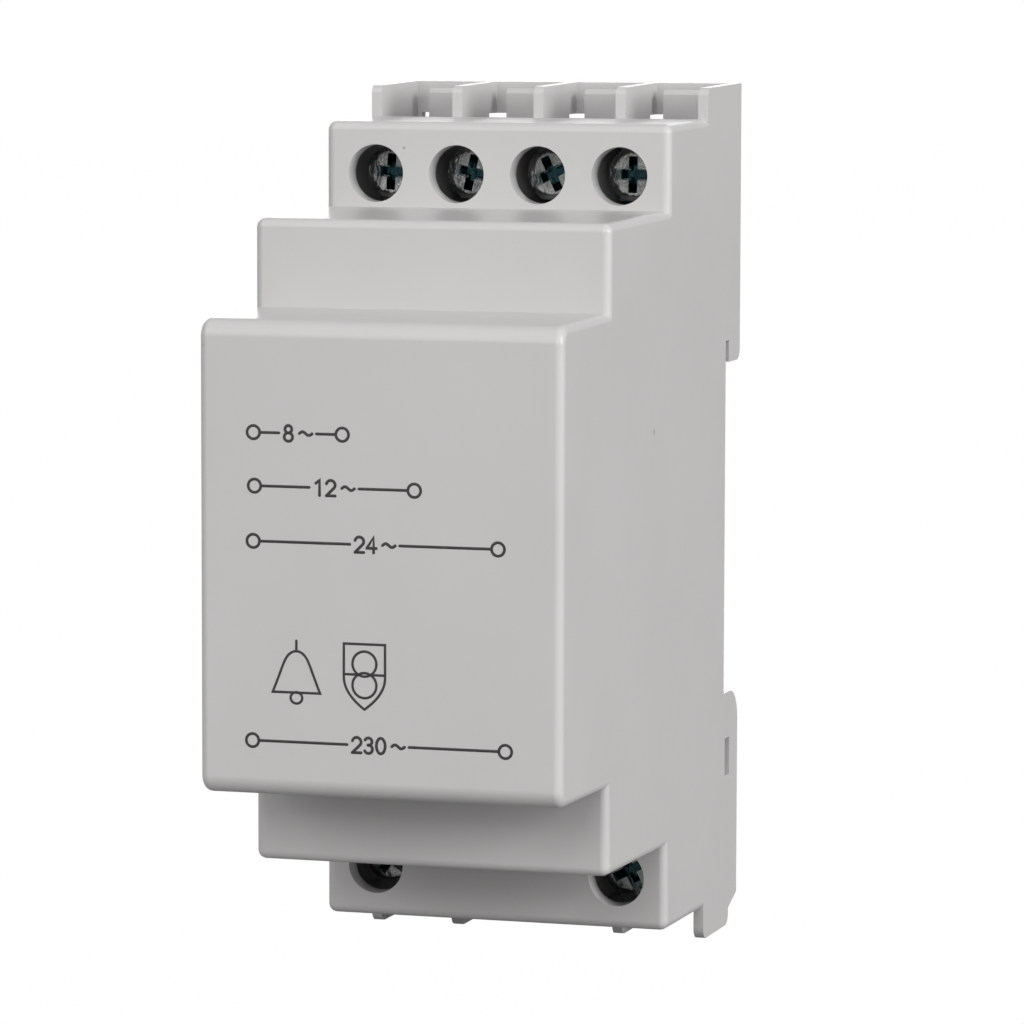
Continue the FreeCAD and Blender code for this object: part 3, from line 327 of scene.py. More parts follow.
@dataclass(frozen=True)
class Finish:
    """What every finish has: a name and a base colour in linear light."""

    name: str
    colour: Colour

    def start(self) -> tuple[bpy.types.Material, Graph, bpy.types.Node, bpy.types.NodeSocket]:
        """Starts the material.

        Returns:
            The material, its graph, its shader and the object coordinates.
        """
        material = bpy.data.materials.new(self.name)
        material.use_nodes = True
        graph = Graph(material.node_tree)
        shader = graph.node("BsdfPrincipled")
        output = graph.node("OutputMaterial", Surface=shader.outputs[0])
        output.is_active_output = True
        place = graph.node("TexCoord").outputs["Object"]
        return material, graph, shader, place

    def effect(
        self, graph: Graph, tree: bpy.types.NodeTree, place: bpy.types.NodeSocket, **inputs: object
    ) -> bpy.types.Node:
        """Places a shared effect group in the material and returns its node."""
        return graph.node("Group", {"node_tree": tree}, Vector=place, **inputs)

    def emboss(
        self,
        graph: Graph,
        shader: bpy.types.Node,
        height: bpy.types.NodeSocket,
        depth: float,
        strength: float,
    ) -> None:
        """Gives the shader a relief from a height, of a depth in millimetres."""
        bump = graph.node("Bump", Strength=strength, Distance=depth * MM, Height=height)
        graph.feed(shader, "Normal", bump.outputs[0])

    def shade(self, low: float, high: float) -> tuple[NodeColour, NodeColour]:
        """The base colour in two tones.

        Args:
            low: factor of the first tone.
            high: factor of the second tone.

        Returns:
            Both tones as node colours.
        """
        dark = (*(low * part for part in self.colour), 1.0)
        light = (*(min(1.0, high * part) for part in self.colour), 1.0)
        return dark, light


@dataclass(frozen=True)
class MouldedPlastic(Finish):
    """A moulded plastic with eroded grain, faint clouds, dust and a few dark inclusions."""

    roughness: float = 0.42
    grain_scale: float = 5200.0
    grain_depth: float = 0.012
    dust_share: float = 0.05
    coat: float = 0.0
    marks: tuple[tuple[Colour, float], ...] = ()
    dust_scale: float = 620.0
    dust_size: float = 0.13
    dust_cover: float = 0.45
    inclusion_scale: float = 210.0
    inclusion_size: float = 0.05
    inclusion_cover: float = 0.6
    gloss_change: float = 0.06
    relief: float = 0.35

    def material(self) -> bpy.types.Material:
        """Builds the material.

        Returns:
            The new material.
        """
        material, graph, shader, place = self.start()
        grain = self.effect(graph, Effects.moulded_grain(), place, Scale=self.grain_scale)
        dust = self.effect(
            graph,
            Effects.specks(),
            place,
            Scale=self.dust_scale,
            Share=self.dust_share,
            Size=self.dust_size,
        )
        dark = self.effect(
            graph,
            Effects.specks(),
            place,
            Scale=self.inclusion_scale,
            Share=self.dust_share * 0.4,
            Size=self.inclusion_size,
        )
        clouds = graph.mix(grain.outputs["Cloud"], *self.shade(0.955, 1.035))
        pale = tuple(min(1.0, 0.25 + 0.85 * part) for part in self.colour)
        settled = graph.math("MULTIPLY", dust.outputs["Mask"], self.dust_cover)
        dusty = graph.mix(settled, clouds, (*pale, 1.0))
        inclusion = graph.math("MULTIPLY", dark.outputs["Mask"], self.inclusion_cover)
        base = graph.mix(inclusion, dusty, self.shade(0.35, 1.0)[0])
        for spot, radius in self.marks:
            centre = tuple(part * MM for part in spot)
            mark = self.effect(graph, Effects.spot_mark(), place, Place=centre, Radius=radius * MM)
            base = graph.mix(mark.outputs["Mask"], base, self.shade(0.4, 1.0)[0])
        graph.feed(shader, "Base Color", base)
        change = self.gloss_change
        gloss = graph.spread(grain.outputs["Gloss"], self.roughness - change, self.roughness + change)
        graph.feed(shader, "Roughness", graph.math("MULTIPLY_ADD", dust.outputs["Mask"], 0.2, gloss))
        self.emboss(graph, shader, grain.outputs["Height"], self.grain_depth, self.relief)
        shader.inputs["IOR"].default_value = 1.49
        shader.inputs["Coat Weight"].default_value = self.coat
        shader.inputs["Coat Roughness"].default_value = 0.16
        return material


@dataclass(frozen=True)
class Metal(Finish):
    """A plated, drawn or stamped metal with streaks and cloudy stains."""

    stain: Colour = (0.4, 0.42, 0.46)
    roughness: float = 0.28
    streak_scale: float = 2600.0
    stretch: Colour = (1.0, 0.08, 1.0)
    depth: float = 0.006
    relief: float = 0.3
    gloss_range: tuple[float, float] = (-0.1, 0.14)
    grime_scale: float = 1500.0
    grime_share: float = 0.1
    grime_size: float = 0.16
    grime_cover: float = 0.5

    def material(self) -> bpy.types.Material:
        """Builds the material.

        Returns:
            The new material.
        """
        material, graph, shader, place = self.start()
        streaks = self.effect(
            graph, Effects.drawn_streaks(), place, Scale=self.streak_scale, Stretch=self.stretch
        )
        patina = graph.mix(streaks.outputs["Stain"], (*self.stain, 1.0), (*self.colour, 1.0))
        grime = self.effect(
            graph,
            Effects.specks(),
            place,
            Scale=self.grime_scale,
            Share=self.grime_share,
            Size=self.grime_size,
        )
        covered = graph.math("MULTIPLY", grime.outputs["Mask"], self.grime_cover)
        spotted = graph.mix(covered, patina, self.shade(0.3, 1.0)[0])
        # Painted shade in the recesses, where the finish has it.
        graph.feed(shader, "Base Color", self.paint_recess_shade(graph, spotted))
        bright, dull = (self.roughness + change for change in self.gloss_range)
        graph.feed(shader, "Roughness", graph.spread(streaks.outputs["Height"], bright, dull))
        self.emboss(graph, shader, streaks.outputs["Height"], self.depth, self.relief)
        shader.inputs["Metallic"].default_value = 1.0
        return material

    def paint_recess_shade(self, graph: Graph, colour: bpy.types.NodeSocket) -> bpy.types.NodeSocket:
        """The colour with painted shade in the recesses: here none."""
        return colour


@dataclass(frozen=True)
class PlatedScrew(Metal):
    """Plated metal that turns dark bluish with the recess depth on the piece: painted shade in the
    recesses, tinted with the passivation's blue.
    """

    # Painted shade of the deepest recess, tinted with the passivation's blue.
    tint_and_recess_shade: Colour = (0.03, 0.07, 0.082)
    recess_shade_gain: float = 1.6
    depth_name: str = "recess_depth"

    def paint_recess_shade(self, graph: Graph, colour: bpy.types.NodeSocket) -> bpy.types.NodeSocket:
        """Mixes the painted recess shade, tinted blue, over the colour.

        Args:
            graph: the material's graph.
            colour: the bare metal's colour.

        Returns:
            The colour that darkens towards the painted recess shade with the depth.
        """
        # Painted shade: darker the deeper a point lies in a recess.
        depth = graph.node("Attribute", {"attribute_name": self.depth_name}).outputs["Fac"]
        shade_share = graph.math("MULTIPLY", depth, self.recess_shade_gain, clamp=True)
        return graph.mix(shade_share, colour, (*self.tint_and_recess_shade, 1.0))


@dataclass(frozen=True)
class LaminatedSteel(Finish):
    """Stacked sheets: bands across the stack, each with its own tone, and a dark varnish."""

    sheet: float = 0.5
    groove_depth: float = 0.05

    def material(self) -> bpy.types.Material:
        """Builds the material.

        Returns:
            The new material.
        """
        material, graph, shader, place = self.start()
        axis = graph.node("SeparateXYZ", Vector=place)
        count = graph.math("DIVIDE", axis.outputs["X"], self.sheet * MM)
        tone = graph.node(
            "TexWhiteNoise", {"noise_dimensions": "1D"}, W=graph.math("FLOOR", count)
        )
        ramp = graph.math("PINGPONG", count, 0.5)
        streaks = self.effect(
            graph, Effects.drawn_streaks(), place, Scale=900.0, Stretch=(1.0, 0.3, 0.3)
        )
        graph.feed(shader, "Base Color", graph.mix(tone.outputs["Value"], *self.shade(0.7, 1.3)))
        graph.feed(shader, "Roughness", graph.spread(streaks.outputs["Stain"], 0.35, 0.6))
        groove = graph.math("MULTIPLY", ramp, 6.0, clamp=True)
        self.emboss(graph, shader, groove, self.groove_depth, 0.6)
        shader.inputs["Metallic"].default_value = 0.85
        return material


@dataclass(frozen=True)
class Film(Finish):
    """Wrapped film tape: overlaps every few millimetres and a soft crinkle, with a clear coat."""

    overlap: float = 3.2
    film_step: float = 0.04

    def material(self) -> bpy.types.Material:
        """Builds the material.

        Returns:
            The new material.
        """
        material, graph, shader, place = self.start()
        axis = graph.node("SeparateXYZ", Vector=place)
        turns = graph.math("FRACT", graph.math("DIVIDE", axis.outputs["Z"], self.overlap * MM))
        grain = self.effect(graph, Effects.moulded_grain(), place, Scale=900.0)
        lap = graph.math("GREATER_THAN", turns, 0.5)
        graph.feed(shader, "Base Color", graph.mix(lap, *self.shade(0.82, 1.05)))
        graph.feed(shader, "Roughness", graph.spread(grain.outputs["Gloss"], 0.2, 0.4))
        height = graph.math("MULTIPLY_ADD", grain.outputs["Height"], 0.4, lap)
        self.emboss(graph, shader, height, self.film_step, 0.5)
        shader.inputs["Coat Weight"].default_value = 0.5
        return material


@dataclass(frozen=True)
class Ink(Finish):
    """Pad-printed ink: nearly black, a little uneven, with pinholes that let the grey through."""

    ground: Colour = (0.5, 0.49, 0.48)
    unevenness: float = 0.004

    def material(self) -> bpy.types.Material:
        """Builds the material.

        Returns:
            The new material.
        """
        material, graph, shader, place = self.start()
        grain = self.effect(graph, Effects.moulded_grain(), place, Scale=4200.0)
        pinholes = self.effect(
            graph, Effects.specks(), place, Scale=5200.0, Share=0.06, Size=0.3
        )
        tone = graph.mix(grain.outputs["Gloss"], *self.shade(0.75, 1.5))
        worn = graph.math("MULTIPLY", pinholes.outputs["Mask"], 0.3)
        graph.feed(shader, "Base Color", graph.mix(worn, tone, (*self.ground, 1.0)))
        graph.feed(shader, "Roughness", graph.spread(grain.outputs["Gloss"], 0.4, 0.6))
        self.emboss(graph, shader, grain.outputs["Height"], self.unevenness, 0.2)
        return material


CASE_MARKS = (
    ((18.0, -27.5, 10.35), 0.4),
    ((-17.4, -58.6, 20.1), 0.42),
    ((-17.4, -58.6, 18.5), 0.34),
    ((-9.75, -22.0, 37.8), 0.2),
)
CASE_PLASTIC = MouldedPlastic(
    "light_grey_moulding", (0.58, 0.572, 0.567), 0.36, coat=0.12, marks=CASE_MARKS
)
CLIP_PLASTIC = MouldedPlastic("dark_grey_clip_moulding", (0.075, 0.078, 0.082), 0.45)
BOBBIN_PLASTIC = MouldedPlastic("natural_nylon", (0.72, 0.70, 0.63), 0.4, dust_share=0.02)
LINK_PLASTIC = MouldedPlastic("pale_filled_barrel", (0.78, 0.74, 0.64), 0.5, dust_share=0.02)
WHITE_INSULATION = MouldedPlastic("white_insulation", (0.72, 0.72, 0.71), 0.3, 2600.0, 0.004)
BLUE_INSULATION = MouldedPlastic("blue_insulation", (0.02, 0.08, 0.34), 0.3, 2600.0, 0.004)
BROWN_INSULATION = MouldedPlastic("brown_insulation", (0.11, 0.04, 0.016), 0.3, 2600.0, 0.004)
ZINC = Metal("zinc_plated_steel", (0.46, 0.51, 0.55), (0.26, 0.32, 0.37), 0.26)
SCREW_ZINC = PlatedScrew(
    "passivated_screw_painted_recess_shade",
    (0.66, 0.66, 0.64),
    (0.06, 0.08, 0.085),
    roughness=0.2,
    streak_scale=1500.0,
    stretch=(1.0, 0.6, 0.5),
    depth=0.2,
    relief=0.9,
)
TIN = Metal("tinned_contact", (0.66, 0.62, 0.54), (0.52, 0.49, 0.42), 0.34)
SOLDER = Metal("bright_solder", (0.68, 0.68, 0.68), (0.55, 0.56, 0.58), 0.22)
SPRING_STEEL = Metal("spring_steel_wire", (0.50, 0.50, 0.52), (0.34, 0.34, 0.37), 0.25)
COPPER = Metal("enamelled_copper", (0.60, 0.20, 0.075), (0.42, 0.12, 0.04), 0.3)
CORE_STEEL = LaminatedSteel("core_laminations", (0.12, 0.12, 0.13))
COIL_FILM = Film("yellow_coil_film", (0.72, 0.46, 0.045))
PRINT_INK = Ink("dark_print_ink", (0.030, 0.027, 0.026))


@dataclass
class Surface:
    """Points in millimetres, and faces as arrays of point numbers."""

    points: np.ndarray
    faces: list[np.ndarray] = field(default_factory=list)

    @staticmethod
    def sheet(grid: np.ndarray, wrap_rows: bool = False, wrap_columns: bool = False) -> "Surface":
        """Joins a grid of points with quads.

        Args:
            grid: points as rows by columns by three.
            wrap_rows: whether the last row joins the first.
            wrap_columns: whether the last column joins the first.

        Returns:
            The surface of the grid.
        """
        rows, columns = grid.shape[:2]
        number = np.arange(rows * columns).reshape(rows, columns)
        if wrap_rows:
            number = np.vstack([number, number[:1]])
        if wrap_columns:
            number = np.hstack([number, number[:, :1]])
        quads = np.stack(
            [number[:-1, :-1], number[:-1, 1:], number[1:, 1:], number[1:, :-1]], axis=-1
        )
        return Surface(grid.reshape(-1, 3), [quads.reshape(-1, 4)])

    def capped(self, ring: np.ndarray, pole: np.ndarray) -> "Surface":
        """Closes a ring of the surface's points with triangles to one added pole.

        Args:
            ring: numbers of the ring's points, in order.
            pole: the added point.

        Returns:
            The surface with the fan.
        """
        tip = np.full(len(ring), len(self.points))
        fan = np.stack([ring, np.roll(ring, -1), tip], axis=-1)
        return Surface(np.vstack([self.points, pole[None]]), [*self.faces, fan])

    def closed_flat(self, rows: int, columns: int) -> "Surface":
        """Closes the first and last row of a wrapped grid with one flat face each.

        Args:
            rows: rows of the grid.
            columns: columns of the grid.

        Returns:
            The closed surface.
        """
        first = np.arange(columns)
        last = first + (rows - 1) * columns
        return Surface(self.points, [*self.faces, first[None], last[None]])

    def joined(self, *others: "Surface") -> "Surface":
        """Puts surfaces together, with their points renumbered.

        Args:
            others: the surfaces that join this one.

        Returns:
            One surface of them all.
        """
        everything = [self, *others]
        starts = np.cumsum([0] + [len(part.points) for part in everything[:-1]])
        points = np.vstack([part.points for part in everything])
        faces = [face + start for part, start in zip(everything, starts) for face in part.faces]
        return Surface(points, faces)

    def moved(self, turn: np.ndarray, shift: np.ndarray) -> "Surface":
        """The surface after a turn, given as a matrix, and a shift."""
        return Surface(self.points @ turn.T + shift, self.faces)

    def mesh(self, name: str, scale: float, sharp_angle: float) -> bpy.types.Mesh:
        """Makes a tidied mesh of the surface.

        Args:
            name: the mesh's name.
            scale: factor on the points.
            sharp_angle: edges that bend more than this many degrees stay sharp.

        Returns:
            The new mesh.
        """
        mesh = bpy.data.meshes.new(name)
        faces = [row for block in self.faces for row in block.tolist()]
        mesh.from_pydata((self.points * scale).tolist(), [], faces)
        work = bmesh.new()
        work.from_mesh(mesh)
        bmesh.ops.remove_doubles(work, verts=work.verts, dist=1e-7)
        bmesh.ops.dissolve_degenerate(work, edges=work.edges, dist=1e-8)
        bmesh.ops.recalc_face_normals(work, faces=work.faces)
        work.to_mesh(mesh)
        work.free()
        shade_smooth(mesh, sharp_angle)
        return mesh


def unit(vectors: np.ndarray) -> np.ndarray:
    """The vectors, each divided by its length."""
    return vectors / np.maximum(np.linalg.norm(vectors, axis=-1, keepdims=True), 1e-9)


def solid_corners(node: str) -> tuple[np.ndarray, np.ndarray]:
    """Lowest and highest corner of a solid at rest, in millimetres."""
    low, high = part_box(node)
    return np.array(low) / MM, np.array(high) / MM


def shade_smooth(mesh: bpy.types.Mesh, sharp_angle: float) -> None:
    """Shades a mesh smooth, apart from edges that bend more than an angle in degrees."""
    mesh.polygons.foreach_set("use_smooth", np.ones(len(mesh.polygons), dtype=bool))
    mesh.set_sharp_from_angle(angle=math.radians(sharp_angle))


def put_in_scene(name: str, data: bpy.types.ID) -> bpy.types.Object:
    """Makes an object and links it to the scene.

    Args:
        name: the object's name.
        data: its mesh, lamp or camera.

    Returns:
        The new object.
    """
    made = bpy.data.objects.new(name, data)
    bpy.context.scene.collection.objects.link(made)
    return made


def place_piece(
    name: str,
    surface: Surface,
    material: bpy.types.Material,
    body: str,
    replaces: tuple[str, ...] = (),
    sharp_angle: float = 35.0,
) -> bpy.types.Object:
    """Makes a piece of the object from a surface.

    Args:
        name: the piece's name.
        surface: its points and faces.
        material: its finish.
        body: the solid model's body that it moves with.
        replaces: solid nodes that it stands for.
        sharp_angle: edges that bend more than this many degrees stay sharp.

    Returns:
        The new object.
    """
    mesh = surface.mesh(name, MM, sharp_angle)
    mesh.materials.append(material)
    piece = put_in_scene(name, mesh)
    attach(piece, body)
    if replaces:
        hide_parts(*replaces)
    LOG.info("%s: %d points on %s", name, len(mesh.vertices), body)
    return piece


def weigh_normals(piece: bpy.types.Object) -> None:
    """Lets large faces set a piece's shading, so that flats stay flat beside their rounds."""
    weighed = piece.modifiers.new("weighed_normals", "WEIGHTED_NORMAL")
    weighed.keep_sharp = True


def carve(name: str, blank: Surface, cutters: list[Surface], broken_edge: float) -> Surface:
    """Cuts shapes out of a closed surface and breaks the edges that this makes.

    Args:
        name: a name for the passing objects.
        blank: the closed surface that is cut.
        cutters: the closed surfaces that are taken away from it.
        broken_edge: width of the small bevel on sharp edges.

    Returns:
        The carved surface.
    """
    solids = [put_in_scene(name, shape.mesh(name, 1.0, 180.0)) for shape in (blank, *cutters)]
    carved = solids[0]
    for cutter in solids[1:]:
        cut = carved.modifiers.new("cut", "BOOLEAN")
        cut.object = cutter
        cut.operation = "DIFFERENCE"
        cut.solver = "EXACT"
    bevel = carved.modifiers.new("broken_edge", "BEVEL")
    bevel.width = broken_edge
    bevel.segments = 2
    bevel.limit_method = "ANGLE"
    bevel.angle_limit = math.radians(40.0)
    bpy.context.view_layer.update()
    evaluated = carved.evaluated_get(bpy.context.evaluated_depsgraph_get())
    mesh = bpy.data.meshes.new_from_object(evaluated)
    points = np.empty(3 * len(mesh.vertices))
    mesh.vertices.foreach_get("co", points)
    faces = [np.array([face.vertices]) for face in mesh.polygons]
    for solid in solids:
        bpy.data.objects.remove(solid)
    return Surface(points.reshape(-1, 3), faces)


@dataclass
class Mouldings:
    """Case, rear cover and rail clip: the solids themselves, with their rounds shaded smooth."""

    sharp_angle: float = 24.0

    def build(self, nodes: dict[str, bpy.types.Object]) -> None:
        """Dresses the mouldings.

        Args:
            nodes: the solid model's objects by name.
        """
        grey = CASE_PLASTIC.material()
        self.smooth("case_moulding", nodes["housing_shell"], grey, "case")
        self.smooth("rear_moulding", nodes["rear_cover"], grey, "case")
        self.smooth("clip_moulding", nodes["rail_clip"], CLIP_PLASTIC.material(), "clip")

    def smooth(
        self,
        name: str,
        node: bpy.types.Object,
        material: bpy.types.Material,
        body: str,
    ) -> None:
        """Puts a merged copy of a solid, smooth over its rounds, in the solid's place.

        Args:
            name: the piece's name.
            node: the solid's object.
            material: the piece's finish.
            body: the body that it moves with.
        """
        mesh = node.data.copy()
        mesh.name = name
        mesh.materials.clear()
        mesh.materials.append(material)
        work = bmesh.new()
        work.from_mesh(mesh)
        bmesh.ops.remove_doubles(work, verts=work.verts, dist=1e-6)
        work.to_mesh(mesh)
        work.free()
        if "custom_normal" in mesh.attributes:
            mesh.attributes.remove(mesh.attributes["custom_normal"])
        shade_smooth(mesh, self.sharp_angle)
        piece = put_in_scene(name, mesh)
        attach(piece, body)
        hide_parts(node.name)
        weigh_normals(piece)
        LOG.info("%s stands for %s", name, node.name)


@dataclass
class TerminalScrew:
    """A captive screw: round-edged head with a slot and a cross recess, and a rolled thread."""

    head_radius: float = 2.65
    head_flat: float = 1.95
    head_thickness: float = 2.0
    dome: float = 0.38
    slot_half: float = 0.56
    slot_depth: float = 0.7
    cross_half: float = 0.46
    cross_reach: float = 1.85
    cross_depth: float = 1.5
    cross_foot: tuple[float, float] = (0.75, 0.5)
    broken_edge: float = 0.12
    overlap: float = 0.4
    sides: int = 72
    thread_pitch: float = 0.6
    thread_depth: float = 0.3
    thread_radius: float = 1.75
    thread_sides: int = 40
    rows_a_pitch: int = 10
    sharp_angle: float = 50.0
    turns_shown: tuple[float, ...] = (3.0, 12.0, -25.0, 1.0, 35.0, 62.0)

    def build(self) -> None:
        """Makes the six screws where the solid screws are."""
        zinc = SCREW_ZINC.material()
        head = carve("screw_head", self.blank(), [self.slot(), self.cross()], self.broken_edge)
        for number, degrees in enumerate(self.turns_shown, 1):
            node = f"terminal_screw_{number}"
            low, high = solid_corners(node)
            place = np.array([(low[0] + high[0]) / 2, low[1], (low[2] + high[2]) / 2])
            angle = math.radians(degrees)
            turn = np.array(
                [
                    [math.cos(angle), 0.0, math.sin(angle)],
                    [0.0, 1.0, 0.0],
                    [-math.sin(angle), 0.0, math.cos(angle)],
                ]
            )
            shank = self.thread(self.head_thickness - self.overlap, high[1] - low[1])
            placed = head.joined(shank).moved(turn, place)
            piece = place_piece(
                f"clamp_screw_{number}",
                placed,
                zinc,
                f"screw_{number}",
                (node,),
                self.sharp_angle,
            )
            self.mark_depth(piece.data, place)
            weigh_normals(piece)

    def rounding(self, radius: np.ndarray) -> np.ndarray:
        """How far the head's top falls back at a radius: a quarter ellipse outside the flat."""
        share = np.clip((radius - self.head_flat) / (self.head_radius - self.head_flat), 0, 1)
        return self.dome * (1 - np.sqrt(1 - share**2))

    def blank(self) -> Surface:
        """The head before it is cut.

        A profile is turned round the Y axis: the edge of the flat face, the rounding at equal
        angles of its quarter ellipse, and the back. Flat faces close both ends.

        Returns:
            The closed surface, with its face at Y zero.
        """
        bend = np.sin(np.linspace(0, math.pi / 2, 9))
        radius = self.head_flat + (self.head_radius - self.head_flat) * bend
        depth = self.rounding(radius)
        radius = np.append(radius, self.head_radius)
        depth = np.append(depth, self.head_thickness)
        around = np.linspace(0, TURN, self.sides, endpoint=False)
        grid = np.stack(
            [
                radius[:, None] * np.cos(around),
                np.broadcast_to(depth[:, None], (len(depth), self.sides)),
                radius[:, None] * np.sin(around),
            ],
            axis=-1,
        )
        return Surface.sheet(grid, wrap_columns=True).closed_flat(len(depth), self.sides)

    def slot(self) -> Surface:
        """What the slot takes away: a rectangle carried across the head.

        Returns:
            The closed bar.
        """
        half, depth, reach = self.slot_half, self.slot_depth, self.head_radius + 1
        section = np.array([[-1.0, -half], [depth, -half], [depth, half], [-1.0, half]])
        ends = np.array([-reach, reach])
        grid = np.concatenate(
            [
                np.broadcast_to(ends[:, None, None], (2, 4, 1)),
                np.broadcast_to(section, (2, 4, 2)),
            ],
            axis=-1,
        )
        return Surface.sheet(grid, wrap_columns=True).closed_flat(2, 4)

    def cross(self) -> Surface:
        """What the cross takes away: a plus whose arms shrink in a straight line with the depth.

        Returns:
            The closed cross.
        """
        depth = np.array([-0.5, self.cross_depth])
        fade = depth / self.cross_depth
        wide = self.cross_half * (1 - fade * (1 - self.cross_foot[0]))
        far = self.cross_reach * (1 - fade * (1 - self.cross_foot[1]))
        corner = np.array([[wide, far], [-wide, far], [-wide, wide]])
        quarter = np.stack([corner, np.stack([-corner[:, 1], corner[:, 0]], axis=1)])
        half = quarter.reshape(6, 2, 2)
        flat = np.concatenate([half, -half]).transpose(2, 0, 1)
        level = np.broadcast_to(depth[:, None, None], (2, 12, 1))
        grid = np.concatenate([flat[..., :1], level, flat[..., 1:]], axis=-1)
        return Surface.sheet(grid, wrap_columns=True).closed_flat(2, 12)

    def mark_depth(self, mesh: bpy.types.Mesh, place: np.ndarray) -> None:
        """Stores how deep each point lies in the recesses, from none at the top to one, which sets the
        painted recess shade.

        Args:
            mesh: the placed screw.
            place: the middle of its head's face.
        """
        points = np.empty(3 * len(mesh.vertices))
        mesh.vertices.foreach_get("co", points)
        x, y, z = (points.reshape(-1, 3) / MM - place).T
        radius = np.hypot(x, z)
        depth = (y - self.rounding(radius)) / self.cross_depth
        recessed = (radius < self.head_radius - 0.1) & (depth < 1.1)
        stored = mesh.attributes.new(SCREW_ZINC.depth_name, "FLOAT", "POINT")
        stored.data.foreach_set("value", np.where(recessed, np.clip(depth, 0, 1), 0.0))

    def thread(self, back: float, tip: float) -> Surface:
        """The shank.

        The radius at a turn and a height is the outside radius less the thread's depth times a
        triangle wave of the height in pitches minus the turn, so the ridge climbs one pitch a
        turn. It tapers over the last pitch, and a fan closes the tip.

        Args:
            back: Y where the shank leaves the head.
            tip: Y of the tip.

        Returns:
            The shank's closed surface.
        """
        around = np.linspace(0, TURN, self.thread_sides, endpoint=False)
        along = np.linspace(back, tip, int((tip - back) / self.thread_pitch * self.rows_a_pitch))
        phase = (along[:, None] / self.thread_pitch - around / TURN) % 1.0
        wave = np.abs(2 * phase - 1)
        left = np.clip((tip - along) / self.thread_pitch, 0, 1)[:, None]
        fall = np.where(left < 1, 1 - left * (1 - wave), wave)
        radius = self.thread_radius - self.thread_depth * fall
        grid = np.stack(
            [
                radius * np.cos(around),
                np.broadcast_to(along[:, None], radius.shape),
                radius * np.sin(around),
            ],
            axis=-1,
        )
        shank = Surface.sheet(grid, wrap_columns=True)
        first = np.arange(len(around))
        last = first + (len(along) - 1) * len(around)
        started = shank.capped(first, np.array([0.0, back, 0.0]))
        return started.capped(last, np.array([0.0, tip, 0.0]))


@dataclass
class ClipSpring:
    """The clip's coil spring in round wire, with closed end coils."""

    wire: float = 0.5
    turns: float = 7.0
    closed: float = 0.9
    packed_share: float = 0.505
    segments: int = 28

    def build(self) -> None:
        """Makes the spring where the solid spring is, with a mesh of its own."""
        low, high = solid_corners("clip_spring")
        centre = (low + high) / 2
        surface = self.surface((high[0] - low[0]) / 2, low[2], high[2])
        placed = surface.moved(np.eye(3), np.array([centre[0], centre[1], 0.0]))
        spring = place_piece(
            "clip_return_spring",
            placed,
            SPRING_STEEL.material(),
            "case",
            ("clip_spring",),
        )
        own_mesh(spring)

    def surface(self, outside: float, bottom: float, top: float) -> Surface:
        """The wire of the spring.

        The middle of the wire turns evenly while its height is a line that is flat over the end
        coils, one wire thick each, and steep between them. The wire's circle lies in the plane of
        the radius and the cross product of the path and the radius.

        Args:
            outside: outer radius.
            bottom: lowest Z.
            top: highest Z.

        Returns:
            The closed surface of the wire.
        """
        radius = outside - self.wire / 2
        angle = np.linspace(0, self.turns * TURN, int(self.turns * self.segments) + 1)
        marks = np.array([0.0, self.closed, self.turns - self.closed, self.turns]) * TURN
        first, last = bottom + self.wire / 2, top - self.wire / 2
        step = self.wire * self.closed
        height = np.interp(angle, marks, [first, first + step, last - step, last])
        path = np.stack([radius * np.cos(angle), radius * np.sin(angle), height], axis=-1)
        outward = np.stack([np.cos(angle), np.sin(angle), np.zeros_like(angle)], axis=-1)
        across = unit(np.cross(unit(np.gradient(path, axis=0)), outward))
        return carry_circle(path, outward, across, np.full(len(path), self.wire / 2))


def carry_circle(
    path: np.ndarray, first: np.ndarray, second: np.ndarray, radius: np.ndarray, sides: int = 14
) -> Surface:
    """Carries a circle along a path and closes both ends.

    Each point is the path's point plus the radius times the cosine of the side's angle along the
    first direction and its sine along the second.

    Args:
        path: points of the middle line.
        first: one direction across the path at each point.
        second: the other direction across the path at each point.
        radius: the circle's radius at each point.
        sides: points of the circle.

    Returns:
        The closed tube.
    """
    angle = np.linspace(0, TURN, sides, endpoint=False)
    ring = (
        np.cos(angle)[None, :, None] * first[:, None, :]
        + np.sin(angle)[None, :, None] * second[:, None, :]
    )
    tube = Surface.sheet(path[:, None, :] + radius[:, None, None] * ring, wrap_columns=True)
    start = np.arange(sides)
    end = start + (len(path) - 1) * sides
    return tube.capped(start, path[0]).capped(end, path[-1])


